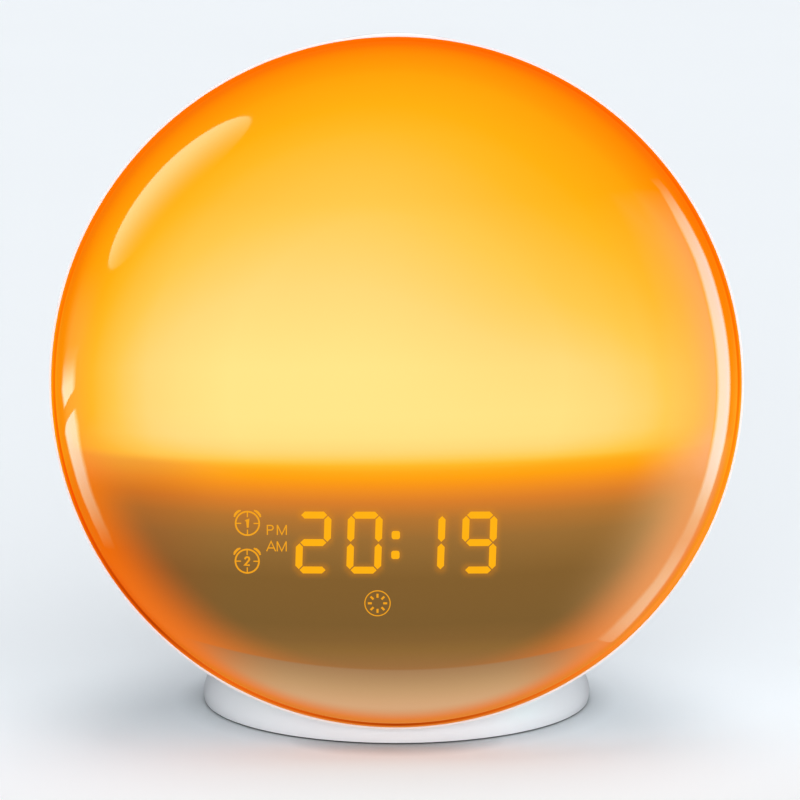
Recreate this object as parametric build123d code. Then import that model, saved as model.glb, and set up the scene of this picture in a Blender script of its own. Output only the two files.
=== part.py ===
"""Sunrise alarm clock: a round, leaning head with a domed light diffuser, on a flared foot.

Table frame: X to the clock's right as seen from the front, Y to the back, Z up from the table.
Head frame: X the same, Y along the head's axis to the back, Z up the leaning face, with its origin
at the centre of the parting plane between diffuser and housing. Lengths are in millimetres.
"""

from build123d import *
from math import asin, cos, degrees, hypot, radians, sin, sqrt
import os

# ---- head shell
lean = 10.0  # the face leans back by this many degrees
ring_gap = 4.8  # front edge of the ring above the table
ring_radius = 85.0
housing_depth = 62.0
back_radius = 44.0  # flat disc at the back
back_fillet = 4.0
housing_wall = 2.4
diffuser_inset = 0.5  # from the ring in to the diffuser's edge
diffuser_draft = 0.5  # the flange narrows by this towards the front
flange_depth = 3.0
flange_width = 1.3  # from the diffuser's edge in to the dome
dome_height = 20.0
dome_turns = (9.0, 17.0, 35.0)  # degrees the face has turned where its arcs join
dome_wall = 2.2
spigot_length = 3.6
spigot_wall = 2.0
spigot_gap = 0.3
bead_height = 0.5  # snap bead round the spigot
bead_length = 1.4
notch_angle = 36.0  # pry notches, below the horizontal
notch_width = 6.0
notch_depth = 1.2

# ---- side keys and snooze bar
key_count = 4  # on each side
key_spacing = 15.0  # along the rim between neighbours
key_top_angle = 1.7  # highest key, above the horizontal
key_length = 12.4
key_width = 5.6
key_proud = 1.2
key_travel = 0.6
key_setback = 10.7  # centre of the keys behind the parting plane
key_window_gap = 0.25
key_flange = 0.6  # lip inside the wall, all round
key_flange_thickness = 1.0
key_edge = 0.8
snooze_length = 44.0
snooze_width = 9.0
snooze_proud = 1.2  # crown above the ring
snooze_crown = 56.0
snooze_travel = 0.8
snooze_setback = 11.0
snooze_flange = 1.6
snooze_flange_thickness = 1.2
switch_side = 6.0
switch_height = 3.0
plunger_radius = 1.7
plunger_gap = 0.08
plunger_reach = 2.0
key_board_thickness = 1.2
key_board_width = 9.0
spring_radius = 2.1
spring_wire = 0.4
spring_turns = 3
spring_offset = 14.0
bracket_half = 3.0  # along the board
bracket_width_half = 3.2  # across it

# ---- light engine
bowl_rim_gap = 5.0  # from the ring in to the bowl's edge
bowl_rim_setback = 4.2
bowl_rim_width = 10.2
bowl_slope = 9.5  # width of the sloping wall
bowl_floor_setback = 17.0
bowl_wall = 1.5
lug_angle = 45.0
lug_width = 8.0
lug_inset = 4.2  # screws in from the bowl's edge
lug_length = 12.0
light_board_gap = 3.3  # inside the bowl's floor
light_board_thickness = 1.6
light_board_edge = -22.0  # lower edge of the light board
led_height = 0.8
warm_led_side = 3.2
colour_led_side = 5.0
led_insets = (37.0, 22.0, 8.0)  # warm lamps' arcs, in from the board's edge
led_counts = (7, 11, 15)
colour_led_inset = 29.5
light_screw_inset = 15.0
light_screw_z = -12.0  # the lower two
colour_led_count = 7

# ---- display
horizon = -21.0  # top of the display zone, on the head's upward axis
shroud_wall = 1.6
shroud_gap = 1.0  # between the shroud's front and the dome
shroud_back = 3.4
shroud_arc_radius = 176.0  # lower edge of the display zone
shroud_bottom_gap = 13.2  # from the dome's edge up to the zone's lowest point
shroud_side_gap = 10.6  # from the dome's edge in to the zone
shroud_leg_radius = 3.0
shroud_leg_x = 30.0
shroud_leg_z = -44.0
display_front = -11.4
display_thickness = 7.4
display_board_thickness = 1.6
digit_height = 15.5
digit_width = 8.9
digit_pitch = 12.65
digit_stroke = 1.8
digit_centre_z = -39.3
digit_relief = 0.4
digit_bezel = 2.0
segment_gap = 0.35
digit_pairs = (-13.98, 13.93)  # middles of the hour pair and the minute pair
colon_x = -0.2
colon_half = 2.5  # each dot above and below the digits' middle
symbol_relief = 0.4
alarm_symbol_radius = 3.1
alarm_symbol_x = -36.5
alarm_symbol_z = (-34.4, -43.8)
meridiem_x = -29.2
meridiem_z = (-36.2, -40.1)
sun_symbol = (-4.6, -54.1)
sun_symbol_radius = 3.25
symbol_line = 0.5
display_board_width = 78.0
display_board_height = 31.0
display_board_x = -3.0
display_board_z = -42.5
shown = "2019"  # the time shown, with the colon in its middle
segment_map = {"0": "abcdef", "1": "bc", "2": "abged", "9": "abcdfg"}

# ---- main board and rear panel
main_board_width = 84.0
main_board_height = 60.0
main_board_z = -4.0
main_board_setback = 30.0
radio_inset_x = 16.0  # middle of the radio module in from the board's edges
radio_inset_z = 12.0
board_thickness = 1.6
board_inset = 5.0  # screw holes from the board's edges
post_radius = 3.2
speaker_z = 2.0
speaker_edge_gap = 14.0  # from the back disc's edge in to the speaker
speaker_flange_width = 6.5
speaker_surround_width = 4.5
speaker_depth = 14.5
speaker_step = 3.0
speaker_travel = 0.6
magnet_radius = 14.0
magnet_depth = 7.5
gasket_thickness = 0.8
grille_hole_radius = 1.1
grille_pitch = 4.6
grille_rings = 4
panel_inset = 14.0  # inlet and reset, up from the back disc's lower edge
grommet_inset = 6.0
jack_x = -20.0
jack_width = 9.0
jack_depth = 14.0
jack_bore_radius = 3.15
jack_snout_radius = 4.2
jack_pin_radius = 1.0
jack_bore_depth = 9.0
reset_x = 20.0
reset_hole_radius = 0.8
grommet_x = 6.0
grommet_radius = 2.6
grommet_lip = 1.2
grommet_bore = 1.0
rail_thickness = 1.6  # ribs beside the inlet and the reset switch
ear_radius = 2.4

# ---- foot
base_half_width = 50.0
base_half_depth = 43.6
base_setback = 31.6  # centre of the foot behind the parting plane's centre
base_wall = 2.2
base_rise = 30.0
neck_width_in = 13.0  # how far the foot narrows on each side
neck_depth_in = 20.0
neck_forward = 9.0
foot_levels = 8
foot_edge = 0.5
rim_lift = 0.4  # the shell's lower edge above the table
seat_gap = 0.3
deck_top = 12.0
deck_thickness = 2.0
deck_front = -2.0  # from the foot's centre
deck_back = 15.0
plate_lift = 1.2
plate_thickness = 1.6
plate_gap = 0.3
foot_radius = 5.0
cap_radius = 12.4
cap_gap = 0.15
cap_setback = 19.6  # battery cap behind the foot's centre
cell_radius = 10.0
cell_thickness = 3.2
cell_gap = 0.25
lug_reach = 2.2
lug_thickness = 1.0
lug_lift = 0.1  # play under the lugs and the cell
lug_sweep = 24.0  # degrees
cap_turn = 40.0
holder_wall = 1.4
holder_roof = 1.1
holder_height = 5.3
slot_spare = 2.0  # degrees on each side of a lug in its slot
pad_radius = 4.2  # bosses under the head that stand on the foot's deck
pad_places = [(-22.0, 6.4), (22.0, 6.4), (0.0, 2.4)]  # from the foot's centre
plate_post_radius = 3.4
plate_web_reach = 14.0
plate_web_half = 1.2
battery_lead_x = (2.0, 6.0)
battery_lead_back = 6.0  # behind the cap's centre

# ---- screws
screw_radius = 1.25
screw_head_radius = 2.4
screw_head_height = 1.5
screw_length = 7.0
pilot_gap = 0.05
hole_gap = 0.3
lead_radius = 0.6
ribbon_width = 14.0
ribbon_thickness = 0.3
light_lead_z = 14.0
ribbon_z = -30.2
lead_hole_radius = 3.6
running_gap = 0.3

# ---- places worked out from the sizes above
diffuser_radius = ring_radius - diffuser_inset
dome_radius = diffuser_radius - flange_width
key_pitch = degrees(key_spacing / ring_radius)
snooze_top = ring_radius + snooze_proud
bowl_rim_radius = ring_radius - bowl_rim_gap
bowl_floor_radius = bowl_rim_radius - bowl_rim_width - bowl_slope
lug_radius = bowl_rim_radius - lug_inset
light_board_radius = bowl_floor_radius - light_board_gap
light_screw_reach = light_board_radius - light_screw_inset
shroud_side = dome_radius - shroud_side_gap
shroud_arc_bottom = shroud_bottom_gap - dome_radius
speaker_radius = back_radius - speaker_edge_gap
speaker_cone_radius = speaker_radius - speaker_flange_width - speaker_surround_width
jack_z = panel_inset - back_radius
reset_z = panel_inset - back_radius
grommet_z = grommet_inset - back_radius
sin_lean = sin(radians(lean))
cos_lean = cos(radians(lean))
arc_drop = ring_radius - back_radius
arc_radius = (arc_drop**2 + housing_depth**2) / (2 * arc_drop)
arc_centre = ring_radius - arc_radius
head_height = ring_gap + ring_radius * cos_lean
front_reach = flange_depth * cos_lean + sqrt(
    (dome_height * cos_lean) ** 2 + (dome_radius * sin_lean) ** 2
)
back_reach = max(
    base_setback + base_half_depth,
    housing_depth * cos_lean + back_radius * sin_lean,
)
head_y = (front_reach - back_reach) / 2
base_y = head_y + base_setback
HEAD = Location((0, head_y, head_height), (-lean, 0, 0))
lead_hole = (sum(battery_lead_x) / 2, base_y + 12.5, 24.0)  # battery leads' way into the head


def shell_radius(setback, inset=0.0):
    """Radius of the housing's curved side, inset from its outer face, at a distance behind the ring."""
    return arc_centre + sqrt((arc_radius - inset) ** 2 - setback**2)


def polar(angle):
    """Turns a piece built on the head's +X side to this angle above the horizontal."""
    return Rot(0, -angle, 0)


def ring(inner, outer, front, back):
    """A flat ring round the head's axis."""
    profile = make_face(
        Polyline((inner, front), (outer, front), (outer, back), (inner, back), close=True)
    )
    return revolve(profile, Axis.Y)


def rod(x, z, front, back, radius):
    """A round bar along the head's axis."""
    bar = Cylinder(radius, back - front, align=(Align.CENTER, Align.CENTER, Align.MIN))
    return Pos(x, front, z) * Rot(-90, 0, 0) * bar


def block(x0, x1, y0, y1, z0, z1):
    """A rectangular block between two corners."""
    corner = Box(x1 - x0, y1 - y0, z1 - z0, align=(Align.MIN, Align.MIN, Align.MIN))
    return Pos(x0, y0, z0) * corner


def plate(outline, front, back):
    """Extrudes a sketch of (x, height) across the head's axis, between two setbacks."""
    return Pos(0, back, 0) * extrude(Rot(90, 0, 0) * outline, back - front)


def screw(length=screw_length, radius=screw_radius):
    """Pan-head screw along +Z, its head's underside at the origin, with a cross recess."""
    head_radius = screw_head_radius * radius / screw_radius
    head = Pos(0, 0, -screw_head_height) * Cylinder(
        head_radius, screw_head_height, align=(Align.CENTER, Align.CENTER, Align.MIN)
    )
    head = fillet(head.edges().group_by(Axis.Z)[0], screw_head_height * 0.4)
    shank = Cylinder(radius, length, align=(Align.CENTER, Align.CENTER, Align.MIN))
    slot = Box(head_radius * 1.2, radius * 0.5, screw_head_height)
    recess = Pos(0, 0, -screw_head_height) * (slot + Rot(0, 0, 90) * slot)
    return head + shank - recess


def save(name, *solids):
    """Writes a node of one or more solids."""
    shape = solids[0] if len(solids) == 1 else Compound(children=list(solids))
    export_step(shape, os.path.join("parts", name + ".step"))


def save_head(name, *solids):
    """Writes a node that is built in the head frame."""
    save(name, *[HEAD * solid for solid in solids])


# ---- shared solids of the head


def head_solid(grow=0.0):
    """The closed outer form of the rear housing, grown or shrunk, with a flat front face."""
    flat = housing_depth + grow
    edge = arc_centre + sqrt((arc_radius + grow) ** 2 - flat**2)
    sweep_angle = degrees(asin(flat / (arc_radius + grow)))
    curve = CenterArc((arc_centre, 0), arc_radius + grow, 0, sweep_angle)
    lines = Polyline((edge, flat), (0, flat), (0, 0), (ring_radius + grow, 0))
    return revolve(make_face(curve + lines), Axis.Y)


def arc_pair(start, middle, end, across, along):
    """Radii of two tangent arcs that turn between these angles and cover a width and a depth."""
    w1, w2 = sin(middle) - sin(start), sin(end) - sin(middle)
    d1, d2 = cos(start) - cos(middle), cos(middle) - cos(end)
    det = w1 * d2 - w2 * d1
    return (across * d2 - along * w2) / det, (along * w1 - across * d1) / det


def dome_curve(inset):
    """Four tangent arcs from the dome's apex to its edge, close to an ellipse, inset from its face."""
    first, second, third = [radians(turn) for turn in dome_turns]
    reach = hypot(dome_radius * sin(second), dome_height * cos(second))
    across = dome_radius**2 * sin(second) / reach
    along = dome_height - dome_height**2 * cos(second) / reach
    radii = arc_pair(0, first, second, across, along)
    radii += arc_pair(second, third, radians(90), dome_radius - across, dome_height - along)
    turns = (0, *dome_turns, 90)
    x, y = 0.0, radii[0] - flange_depth - dome_height
    curve = Curve()
    for i, radius in enumerate(radii):
        curve += CenterArc((x, y), radius - inset, turns[i] - 90, turns[i + 1] - turns[i])
        if i < len(radii) - 1:
            step = radius - radii[i + 1]
            turn = radians(turns[i + 1])
            x, y = x + step * sin(turn), y - step * cos(turn)
    return curve


def dome_solid(inset):
    """The closed form inside the dome, inset from its outer face, back to the flange's front."""
    lines = Polyline(
        (dome_radius - inset, -flange_depth),
        (0, -flange_depth),
        (0, -flange_depth - dome_height + inset),
    )
    return revolve(make_face(dome_curve(inset) + lines), Axis.Y)


def key_angles(side):
    """Polar angles of the keys of one side, from the top down: +1 is right, -1 is left."""
    angles = [key_top_angle - key_pitch * i for i in range(key_count)]
    return angles if side > 0 else [180 - angle for angle in angles]


spigot_outer = shell_radius(0, housing_wall) - spigot_gap
spigot_inner = spigot_outer - spigot_wall
bead_middle = spigot_length / 2
key_top = shell_radius(key_setback) + key_proud
key_lip_top = shell_radius(key_setback + key_width / 2 + key_flange, housing_wall) - running_gap
key_lip_drop = (key_length / 2 + key_flange) ** 2 / (2 * key_lip_top)
key_lip_outer = key_lip_top - key_lip_drop
key_lip_inner = key_lip_outer - key_flange_thickness
switch_top = key_lip_inner - key_travel - running_gap
key_board_outer = switch_top - switch_height
key_board_inner = key_board_outer - key_board_thickness
snooze_lip_half = snooze_length / 2 + snooze_flange
snooze_lip_top = (
    sqrt(shell_radius(snooze_setback + snooze_width / 2, housing_wall) ** 2 - snooze_lip_half**2)
    - running_gap
)
snooze_lip_bottom = snooze_lip_top - snooze_flange_thickness
top_switch_top = snooze_lip_bottom - snooze_travel - running_gap / 2
top_board_top = top_switch_top - switch_height
top_bracket_x = snooze_lip_half + running_gap + bracket_half
board_front = main_board_setback
board_back = main_board_setback + board_thickness
inner_back = housing_depth - housing_wall
bowl_floor_back = bowl_floor_setback + bowl_wall
light_front = bowl_floor_setback - light_board_thickness
display_board_front = display_front + display_thickness
display_board_back = display_board_front + display_board_thickness
digit_columns = [x + s * digit_pitch / 2 for x in digit_pairs for s in (-1, 1)]
post_reach_x = main_board_width / 2 - board_inset
post_reach_z = main_board_height / 2 - board_inset
post_places = [
    (sx * post_reach_x, main_board_z + sz * post_reach_z) for sx in (-1, 1) for sz in (-1, 1)
]
speaker_ear_radius = speaker_radius - screw_radius - 1.2
speaker_ears = [
    (speaker_ear_radius * cos(radians(a)), speaker_z + speaker_ear_radius * sin(radians(a)))
    for a in (45, 135, 225, 315)
]
gasket_front = inner_back - gasket_thickness
frame_front = gasket_front - 1.4
lug_angles = (lug_angle, 180 - lug_angle, 180 + lug_angle, -lug_angle)
lug_front = bowl_rim_setback + bowl_wall
leg_places = [(sx * shroud_leg_x, shroud_leg_z) for sx in (-1, 1)]


def key_bracket_angles(side):
    """Polar angles of the two brackets that carry one side's key board."""
    angles = key_angles(side)
    reach = degrees((key_length / 2 + key_flange + running_gap + bracket_half) / key_lip_outer)
    turn = 1 if side > 0 else -1
    return angles[0] + turn * reach, angles[-1] - turn * reach


# ---- front diffuser


def front_diffuser():
    """Opal dome with a drafted flange and a snap spigot that enters the housing."""
    outer, inner = dome_curve(0), dome_curve(dome_wall)
    rim = Polyline(
        (dome_radius, -flange_depth),
        (diffuser_radius - diffuser_draft, -flange_depth),
        (diffuser_radius, 0),
        (spigot_outer, 0),
        (spigot_outer, bead_middle - bead_length / 2),
        (spigot_outer + bead_height, bead_middle),
        (spigot_outer, bead_middle + bead_length / 2),
        (spigot_outer, spigot_length),
        (spigot_inner, spigot_length),
        (spigot_inner, 0),
        (dome_radius - dome_wall, -flange_depth),
    )
    apex = Line((0, -flange_depth - dome_height + dome_wall), (0, -flange_depth - dome_height))
    return revolve(make_face(outer + rim + inner + apex), Axis.Y)


# ---- rear housing


def key_prism(grow, bottom, top):
    """A pill along the rim, grown all round, between two distances from the head's axis."""
    pill = SlotOverall(key_length + 2 * grow, key_width + 2 * grow, rotation=90)
    return Pos(bottom, key_setback, 0) * Rot(0, 90, 0) * extrude(Rot(0, 0, 90) * pill, top - bottom)


def snooze_prism(grow, bottom, top):
    """The snooze bar's outline, grown all round, between two heights."""
    pill = SlotOverall(snooze_length + 2 * grow, snooze_width + 2 * grow)
    return Pos(0, snooze_setback, bottom) * extrude(pill, top - bottom)


def housing_posts():
    """Bosses inside the housing: board posts, bowl lugs, speaker ears, key brackets, jack rails."""
    posts = [rod(x, z, board_back, housing_depth, post_radius) for x, z in post_places]
    posts += [rod(x, z, gasket_front, housing_depth, ear_radius) for x, z in speaker_ears]
    for angle in lug_angles:
        lug = block(
            lug_radius - lug_width / 2, ring_radius, lug_front, lug_front + lug_length,
            -lug_width / 2, lug_width / 2,
        )
        posts.append(polar(angle) * lug)
    for side in (-1, 1):
        for angle in key_bracket_angles(side):
            bracket = block(
                key_board_outer, ring_radius,
                key_setback - bracket_width_half, key_setback + bracket_width_half,
                -bracket_half, bracket_half,
            )
            posts.append(polar(angle) * bracket)
    for side in (-1, 1):
        x = side * top_bracket_x
        posts.append(
            block(
                x - bracket_half, x + bracket_half,
                snooze_setback - bracket_width_half, snooze_setback + bracket_width_half,
                top_board_top, ring_radius,
            )
        )
    rail = jack_width / 2
    for x in (jack_x - rail - rail_thickness, jack_x + rail):
        posts.append(
            block(x, x + rail_thickness, inner_back - 9, housing_depth, jack_z - 4, jack_z + 4)
        )
    for x in (reset_x - switch_side / 2 - rail_thickness, reset_x + switch_side / 2):
        posts.append(
            block(x, x + rail_thickness, inner_back - 4, housing_depth, reset_z - 3, reset_z + 3)
        )
    return posts


def housing_pilots():
    """Screw holes in those bosses."""
    pilot = screw_radius + pilot_gap
    holes = [rod(x, z, board_back, board_back + 10, pilot) for x, z in post_places]
    holes += [rod(x, z, gasket_front, inner_back + 1.4, pilot) for x, z in speaker_ears]
    for angle in lug_angles:
        holes.append(polar(angle) * rod(lug_radius, 0, lug_front, lug_front + 9, pilot))
    for side in (-1, 1):
        for angle in key_bracket_angles(side):
            bore = Cylinder(pilot, 6, align=(Align.CENTER, Align.CENTER, Align.MIN))
            bore = Pos(key_board_outer, key_setback, 0) * Rot(0, 90, 0) * bore
            holes.append(polar(angle) * bore)
    for side in (-1, 1):
        bore = Cylinder(pilot, 6, align=(Align.CENTER, Align.CENTER, Align.MIN))
        holes.append(Pos(side * top_bracket_x, snooze_setback, top_board_top) * bore)
    return holes


def grille_places():
    """Centres of the speaker holes: one in the middle and six more on each ring."""
    places = [(0, speaker_z)]
    for k in range(1, grille_rings + 1):
        for i in range(6 * k):
            a = radians(60 * i / k)
            places.append((k * grille_pitch * cos(a), speaker_z + k * grille_pitch * sin(a)))
    return places


def foot_pads(radius, bottom, top):
    """Upright bars, in the table frame, at the three screws between head and foot."""
    bar = Cylinder(radius, top - bottom, align=(Align.CENTER, Align.CENTER, Align.MIN))
    return [Pos(x, base_y + y, bottom) * bar for x, y in pad_places]


def rear_housing():
    """White moulded shell behind the ring, with its bosses, windows and grille."""
    outer = head_solid()
    outer = fillet(outer.edges().filter_by(GeomType.CIRCLE).group_by(Axis.Y)[-1], back_fillet)
    shell = outer - head_solid(-housing_wall)
    for post in housing_posts():
        shell += post & outer
    inverse = HEAD.inverse()
    for pad in foot_pads(pad_radius, deck_top, deck_top + 12):
        shell += inverse * pad
    groove = make_face(
        Polyline(
            (spigot_outer, bead_middle - bead_length / 2 - 0.3),
            (spigot_outer + bead_height + spigot_gap, bead_middle - 0.2),
            (spigot_outer + bead_height + spigot_gap, bead_middle + 0.2),
            (spigot_outer, bead_middle + bead_length / 2 + 0.3),
            close=True,
        )
    )
    shell -= revolve(groove, Axis.Y)
    for side in (-1, 1):
        for angle in key_angles(side):
            shell -= polar(angle) * key_prism(key_window_gap, key_lip_outer, ring_radius + 2)
    shell -= snooze_prism(key_window_gap, snooze_lip_top, ring_radius + 2)
    for angle in (-notch_angle, 180 + notch_angle):
        notch = block(
            spigot_outer + 1.2, ring_radius + 1, -1, notch_depth, -notch_width / 2, notch_width / 2
        )
        shell -= polar(angle) * notch
    for hole in housing_pilots():
        shell -= hole
    for x, z in grille_places():
        shell -= rod(x, z, inner_back - 1, housing_depth + 1, grille_hole_radius)
    shell -= rod(jack_x, jack_z, inner_back - 1, housing_depth + 1, jack_snout_radius + 0.15)
    shell -= rod(reset_x, reset_z, inner_back - 1, housing_depth + 1, reset_hole_radius)
    shell -= rod(grommet_x, grommet_z, inner_back - 1, housing_depth + 1, grommet_radius)
    pilot = screw_radius + pilot_gap
    for bore in foot_pads(pilot, deck_top - 1, deck_top + 9):
        shell -= inverse * bore
    x, y, z = lead_hole
    shell -= inverse * (Pos(x, y, z) * Cylinder(lead_hole_radius, 24))
    return shell


# ---- keys


def side_button(angle):
    """One key: its pill cap, the lip inside the wall, and the plunger in the switch below."""
    cap = key_prism(0, key_lip_inner, key_top)
    cap = fillet(cap.faces().sort_by(Axis.X)[-1].edges(), key_edge)
    lip = key_prism(key_flange, key_lip_inner, key_lip_outer)
    stem = Cylinder(plunger_radius, key_lip_inner - switch_top + plunger_reach,
                    align=(Align.CENTER, Align.CENTER, Align.MIN))
    stem = Pos(switch_top - plunger_reach, key_setback, 0) * Rot(0, 90, 0) * stem
    return polar(angle) * (cap + lip + stem)


def snooze_button():
    """Crowned bar over the top edge, with a lip and a plunger below it."""
    crown = Pos(0, snooze_setback, snooze_top - snooze_crown) * Rot(90, 0, 0) * Cylinder(
        snooze_crown, snooze_width + 2
    )
    bar = snooze_prism(0, snooze_lip_bottom, snooze_top + 1) & crown
    top_edges = [
        e for e in bar.edges() if e.center().Z > snooze_lip_top + 1.5 and abs(e.center().Y) > 0
    ]
    bar = fillet([e for e in top_edges if e.geom_type != GeomType.LINE], key_edge)
    lip = snooze_prism(0, snooze_lip_bottom, snooze_lip_top)
    ends = block(
        -snooze_lip_half, snooze_lip_half, snooze_setback - snooze_width / 2 + 0.4,
        snooze_setback + snooze_width / 2 - 0.4, snooze_lip_bottom, snooze_lip_top,
    )
    stem = Pos(0, snooze_setback, top_switch_top - plunger_reach) * Cylinder(
        plunger_radius, snooze_lip_bottom - top_switch_top + plunger_reach,
        align=(Align.CENTER, Align.CENTER, Align.MIN),
    )
    return bar + lip + ends + stem


def snooze_spring(x):
    """Light coil spring between the top key board and the snooze bar."""
    height = snooze_lip_bottom - top_board_top - spring_wire - 0.1
    path = Helix(height / spring_turns, height, spring_radius)
    wire = sweep(Plane(path @ 0, z_dir=path % 0) * Circle(spring_wire / 2), path)
    return Pos(x, snooze_setback, top_board_top + spring_wire / 2 + 0.05) * wire


def side_key_board(side):
    """Flexible key board on its curved carrier, screwed to two brackets."""
    first, last = key_bracket_angles(side)
    low, high = min(first, last), max(first, last)
    margin = degrees((bracket_half + 0.5) / key_board_outer)
    strip = make_face(
        Polyline(
            (key_board_inner, key_setback - key_board_width / 2),
            (key_board_outer, key_setback - key_board_width / 2),
            (key_board_outer, key_setback + key_board_width / 2),
            (key_board_inner, key_setback + key_board_width / 2),
            close=True,
        )
    )
    board = polar(high + margin) * revolve(strip, Axis.Y, high - low + 2 * margin)
    for angle in (first, last):
        hole = Cylinder(screw_radius + hole_gap, 4 * key_board_thickness)
        board -= polar(angle) * Pos(key_board_outer, key_setback, 0) * Rot(0, 90, 0) * hole
    return board


def top_key_board():
    """Straight key board below the snooze bar."""
    half = top_bracket_x + bracket_half
    board = block(
        -half, half, snooze_setback - key_board_width / 2, snooze_setback + key_board_width / 2,
        top_board_top - key_board_thickness, top_board_top,
    )
    for side in (-1, 1):
        board -= Pos(side * top_bracket_x, snooze_setback, top_board_top) * Cylinder(
            screw_radius + hole_gap, 4 * key_board_thickness
        )
    return board


def tact_switch():
    """Switch body along +Z from its board, with the bore that its plunger runs in."""
    body = Box(switch_side, switch_side, switch_height, align=(Align.CENTER, Align.CENTER, Align.MIN))
    bore = Cylinder(plunger_radius + plunger_gap, switch_height,
                    align=(Align.CENTER, Align.CENTER, Align.MIN))
    deepest = plunger_reach + max(key_travel, snooze_travel) + 0.1
    return body - Pos(0, 0, switch_height - deepest) * bore


def key_switches():
    """Every switch: one under each side key, and one under the snooze bar."""
    seat = 0.05  # a flat switch body on the curved board
    switches = []
    for side in (-1, 1):
        for angle in key_angles(side):
            place = Pos(key_board_outer + seat, key_setback, 0) * Rot(0, 90, 0)
            switches.append(polar(angle) * place * tact_switch())
    switches.append(Pos(0, snooze_setback, top_board_top) * tact_switch())
    return switches


def key_board_screws():
    """Screws that hold the three key boards to their brackets."""
    screws = []
    for side in (-1, 1):
        for angle in key_bracket_angles(side):
            place = Pos(key_board_inner - 0.1, key_setback, 0) * Rot(0, 90, 0)
            screws.append(polar(angle) * place * screw(5.5))
    for side in (-1, 1):
        x = side * top_bracket_x
        screws.append(Pos(x, snooze_setback, top_board_top - key_board_thickness) * screw(5.5))
    return screws


# ---- light engine


def reflector_bowl():
    """White bowl that spreads the light: a flat rim, a sloping wall and a flat floor."""
    rim_inner = bowl_rim_radius - bowl_rim_width
    profile = make_face(
        Polyline(
            (0, bowl_floor_setback),
            (bowl_floor_radius, bowl_floor_setback),
            (rim_inner, bowl_rim_setback),
            (bowl_rim_radius, bowl_rim_setback),
            (bowl_rim_radius, bowl_rim_setback + bowl_wall),
            (rim_inner + 0.7, bowl_rim_setback + bowl_wall),
            (bowl_floor_radius + 0.7, bowl_floor_back),
            (0, bowl_floor_back),
            close=True,
        )
    )
    bowl = revolve(profile, Axis.Y)
    hole = screw_radius + hole_gap
    for angle in lug_angles:
        bowl -= polar(angle) * rod(lug_radius, 0, 0, lug_front + 1, hole)
    for x, z in light_screw_places():
        bowl -= rod(x, z, bowl_floor_setback - 1, bowl_floor_back + 1, screw_radius + pilot_gap)
    for x, z in leg_places:
        bowl -= rod(x, z, bowl_floor_setback - 1, bowl_floor_back + 1, hole)
    bowl -= rod(0, light_lead_z, bowl_floor_setback - 1, bowl_floor_back + 1, 3.5)
    slot_half = ribbon_width / 2 + 1
    bowl -= block(
        -slot_half, slot_half, bowl_floor_setback - 1, bowl_floor_back + 1,
        ribbon_z - 1.5, ribbon_z + 1.5,
    )
    return bowl


def light_screw_places():
    """Screws that hold the light board to the bowl's floor."""
    low = [(side * light_screw_reach, light_screw_z) for side in (-1, 1)]
    return low + [(0.0, light_screw_reach)]


def light_board():
    """Aluminium board that carries the lamps, cut off above the display."""
    board = rod(0, 0, light_front, bowl_floor_setback, light_board_radius)
    board -= block(
        -light_board_radius, light_board_radius, light_front - 1, bowl_floor_setback + 1,
        -light_board_radius, light_board_edge,
    )
    for x, z in light_screw_places():
        board -= rod(x, z, light_front - 1, bowl_floor_setback + 1, screw_radius + hole_gap)
    return board


def led_places(radius, count):
    """Even places on an arc over the top of the light board."""
    lowest = max(light_board_edge + warm_led_side, -0.87 * radius)
    start = degrees(asin(lowest / radius))
    span = 180 - 2 * start
    for i in range(count):
        a = radians(start + span * (i + 0.5) / count)
        yield radius * cos(a), radius * sin(a)


def led(x, z, side):
    """One lamp package on the light board, with a shallow lens recess."""
    half, face = side / 2, light_front - led_height
    body = block(x - half, x + half, face, light_front, z - half, z + half)
    return body - rod(x, z, face - 0.1, face + 0.2, side * 0.38)


def warm_leds():
    """Warm white lamps on three arcs."""
    lamps = []
    for inset, count in zip(led_insets, led_counts):
        places = led_places(light_board_radius - inset, count)
        lamps += [led(x, z, warm_led_side) for x, z in places]
    return lamps


def colour_leds():
    """Colour lamps on an arc of their own."""
    places = led_places(light_board_radius - colour_led_inset, colour_led_count)
    return [led(x, z, colour_led_side) for x, z in places]


# ---- display


def display_zone(grow=0.0):
    """Outline of the display zone: the horizon above, the dome's edge at the sides, an arc below."""
    side = Circle(shroud_side + grow)
    top = Pos(0, horizon + grow) * Rectangle(
        4 * shroud_side, 4 * shroud_side, align=(Align.CENTER, Align.MAX)
    )
    bottom = Pos(0, shroud_arc_bottom + shroud_arc_radius) * Circle(shroud_arc_radius + grow)
    return side & top & bottom


def display_windows(grow=0.0):
    """Sketch of the display's face: the digits, the symbols beside them and the one below."""
    half = digit_columns[-1] + digit_width / 2 + digit_bezel
    tall = digit_height + 2 * digit_bezel
    digits = Pos(0, digit_centre_z) * Rectangle(2 * half + 2 * grow, tall + 2 * grow)
    reach = alarm_symbol_radius + 1.6
    left = alarm_symbol_x - reach
    middle = (alarm_symbol_z[0] + alarm_symbol_z[1]) / 2
    symbols = Pos((left - half) / 2 + 0.5, middle) * Rectangle(
        -half - left + 1 + 2 * grow, alarm_symbol_z[0] - alarm_symbol_z[1] + 2 * reach + 2 * grow
    )
    low = sun_symbol[1] - sun_symbol_radius - 1
    tab = Pos(sun_symbol[0], (low + digit_centre_z) / 2) * Rectangle(
        2 * sun_symbol_radius + 2 + 2 * grow, digit_centre_z - low + 2 * grow
    )
    return digits + symbols + tab


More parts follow.
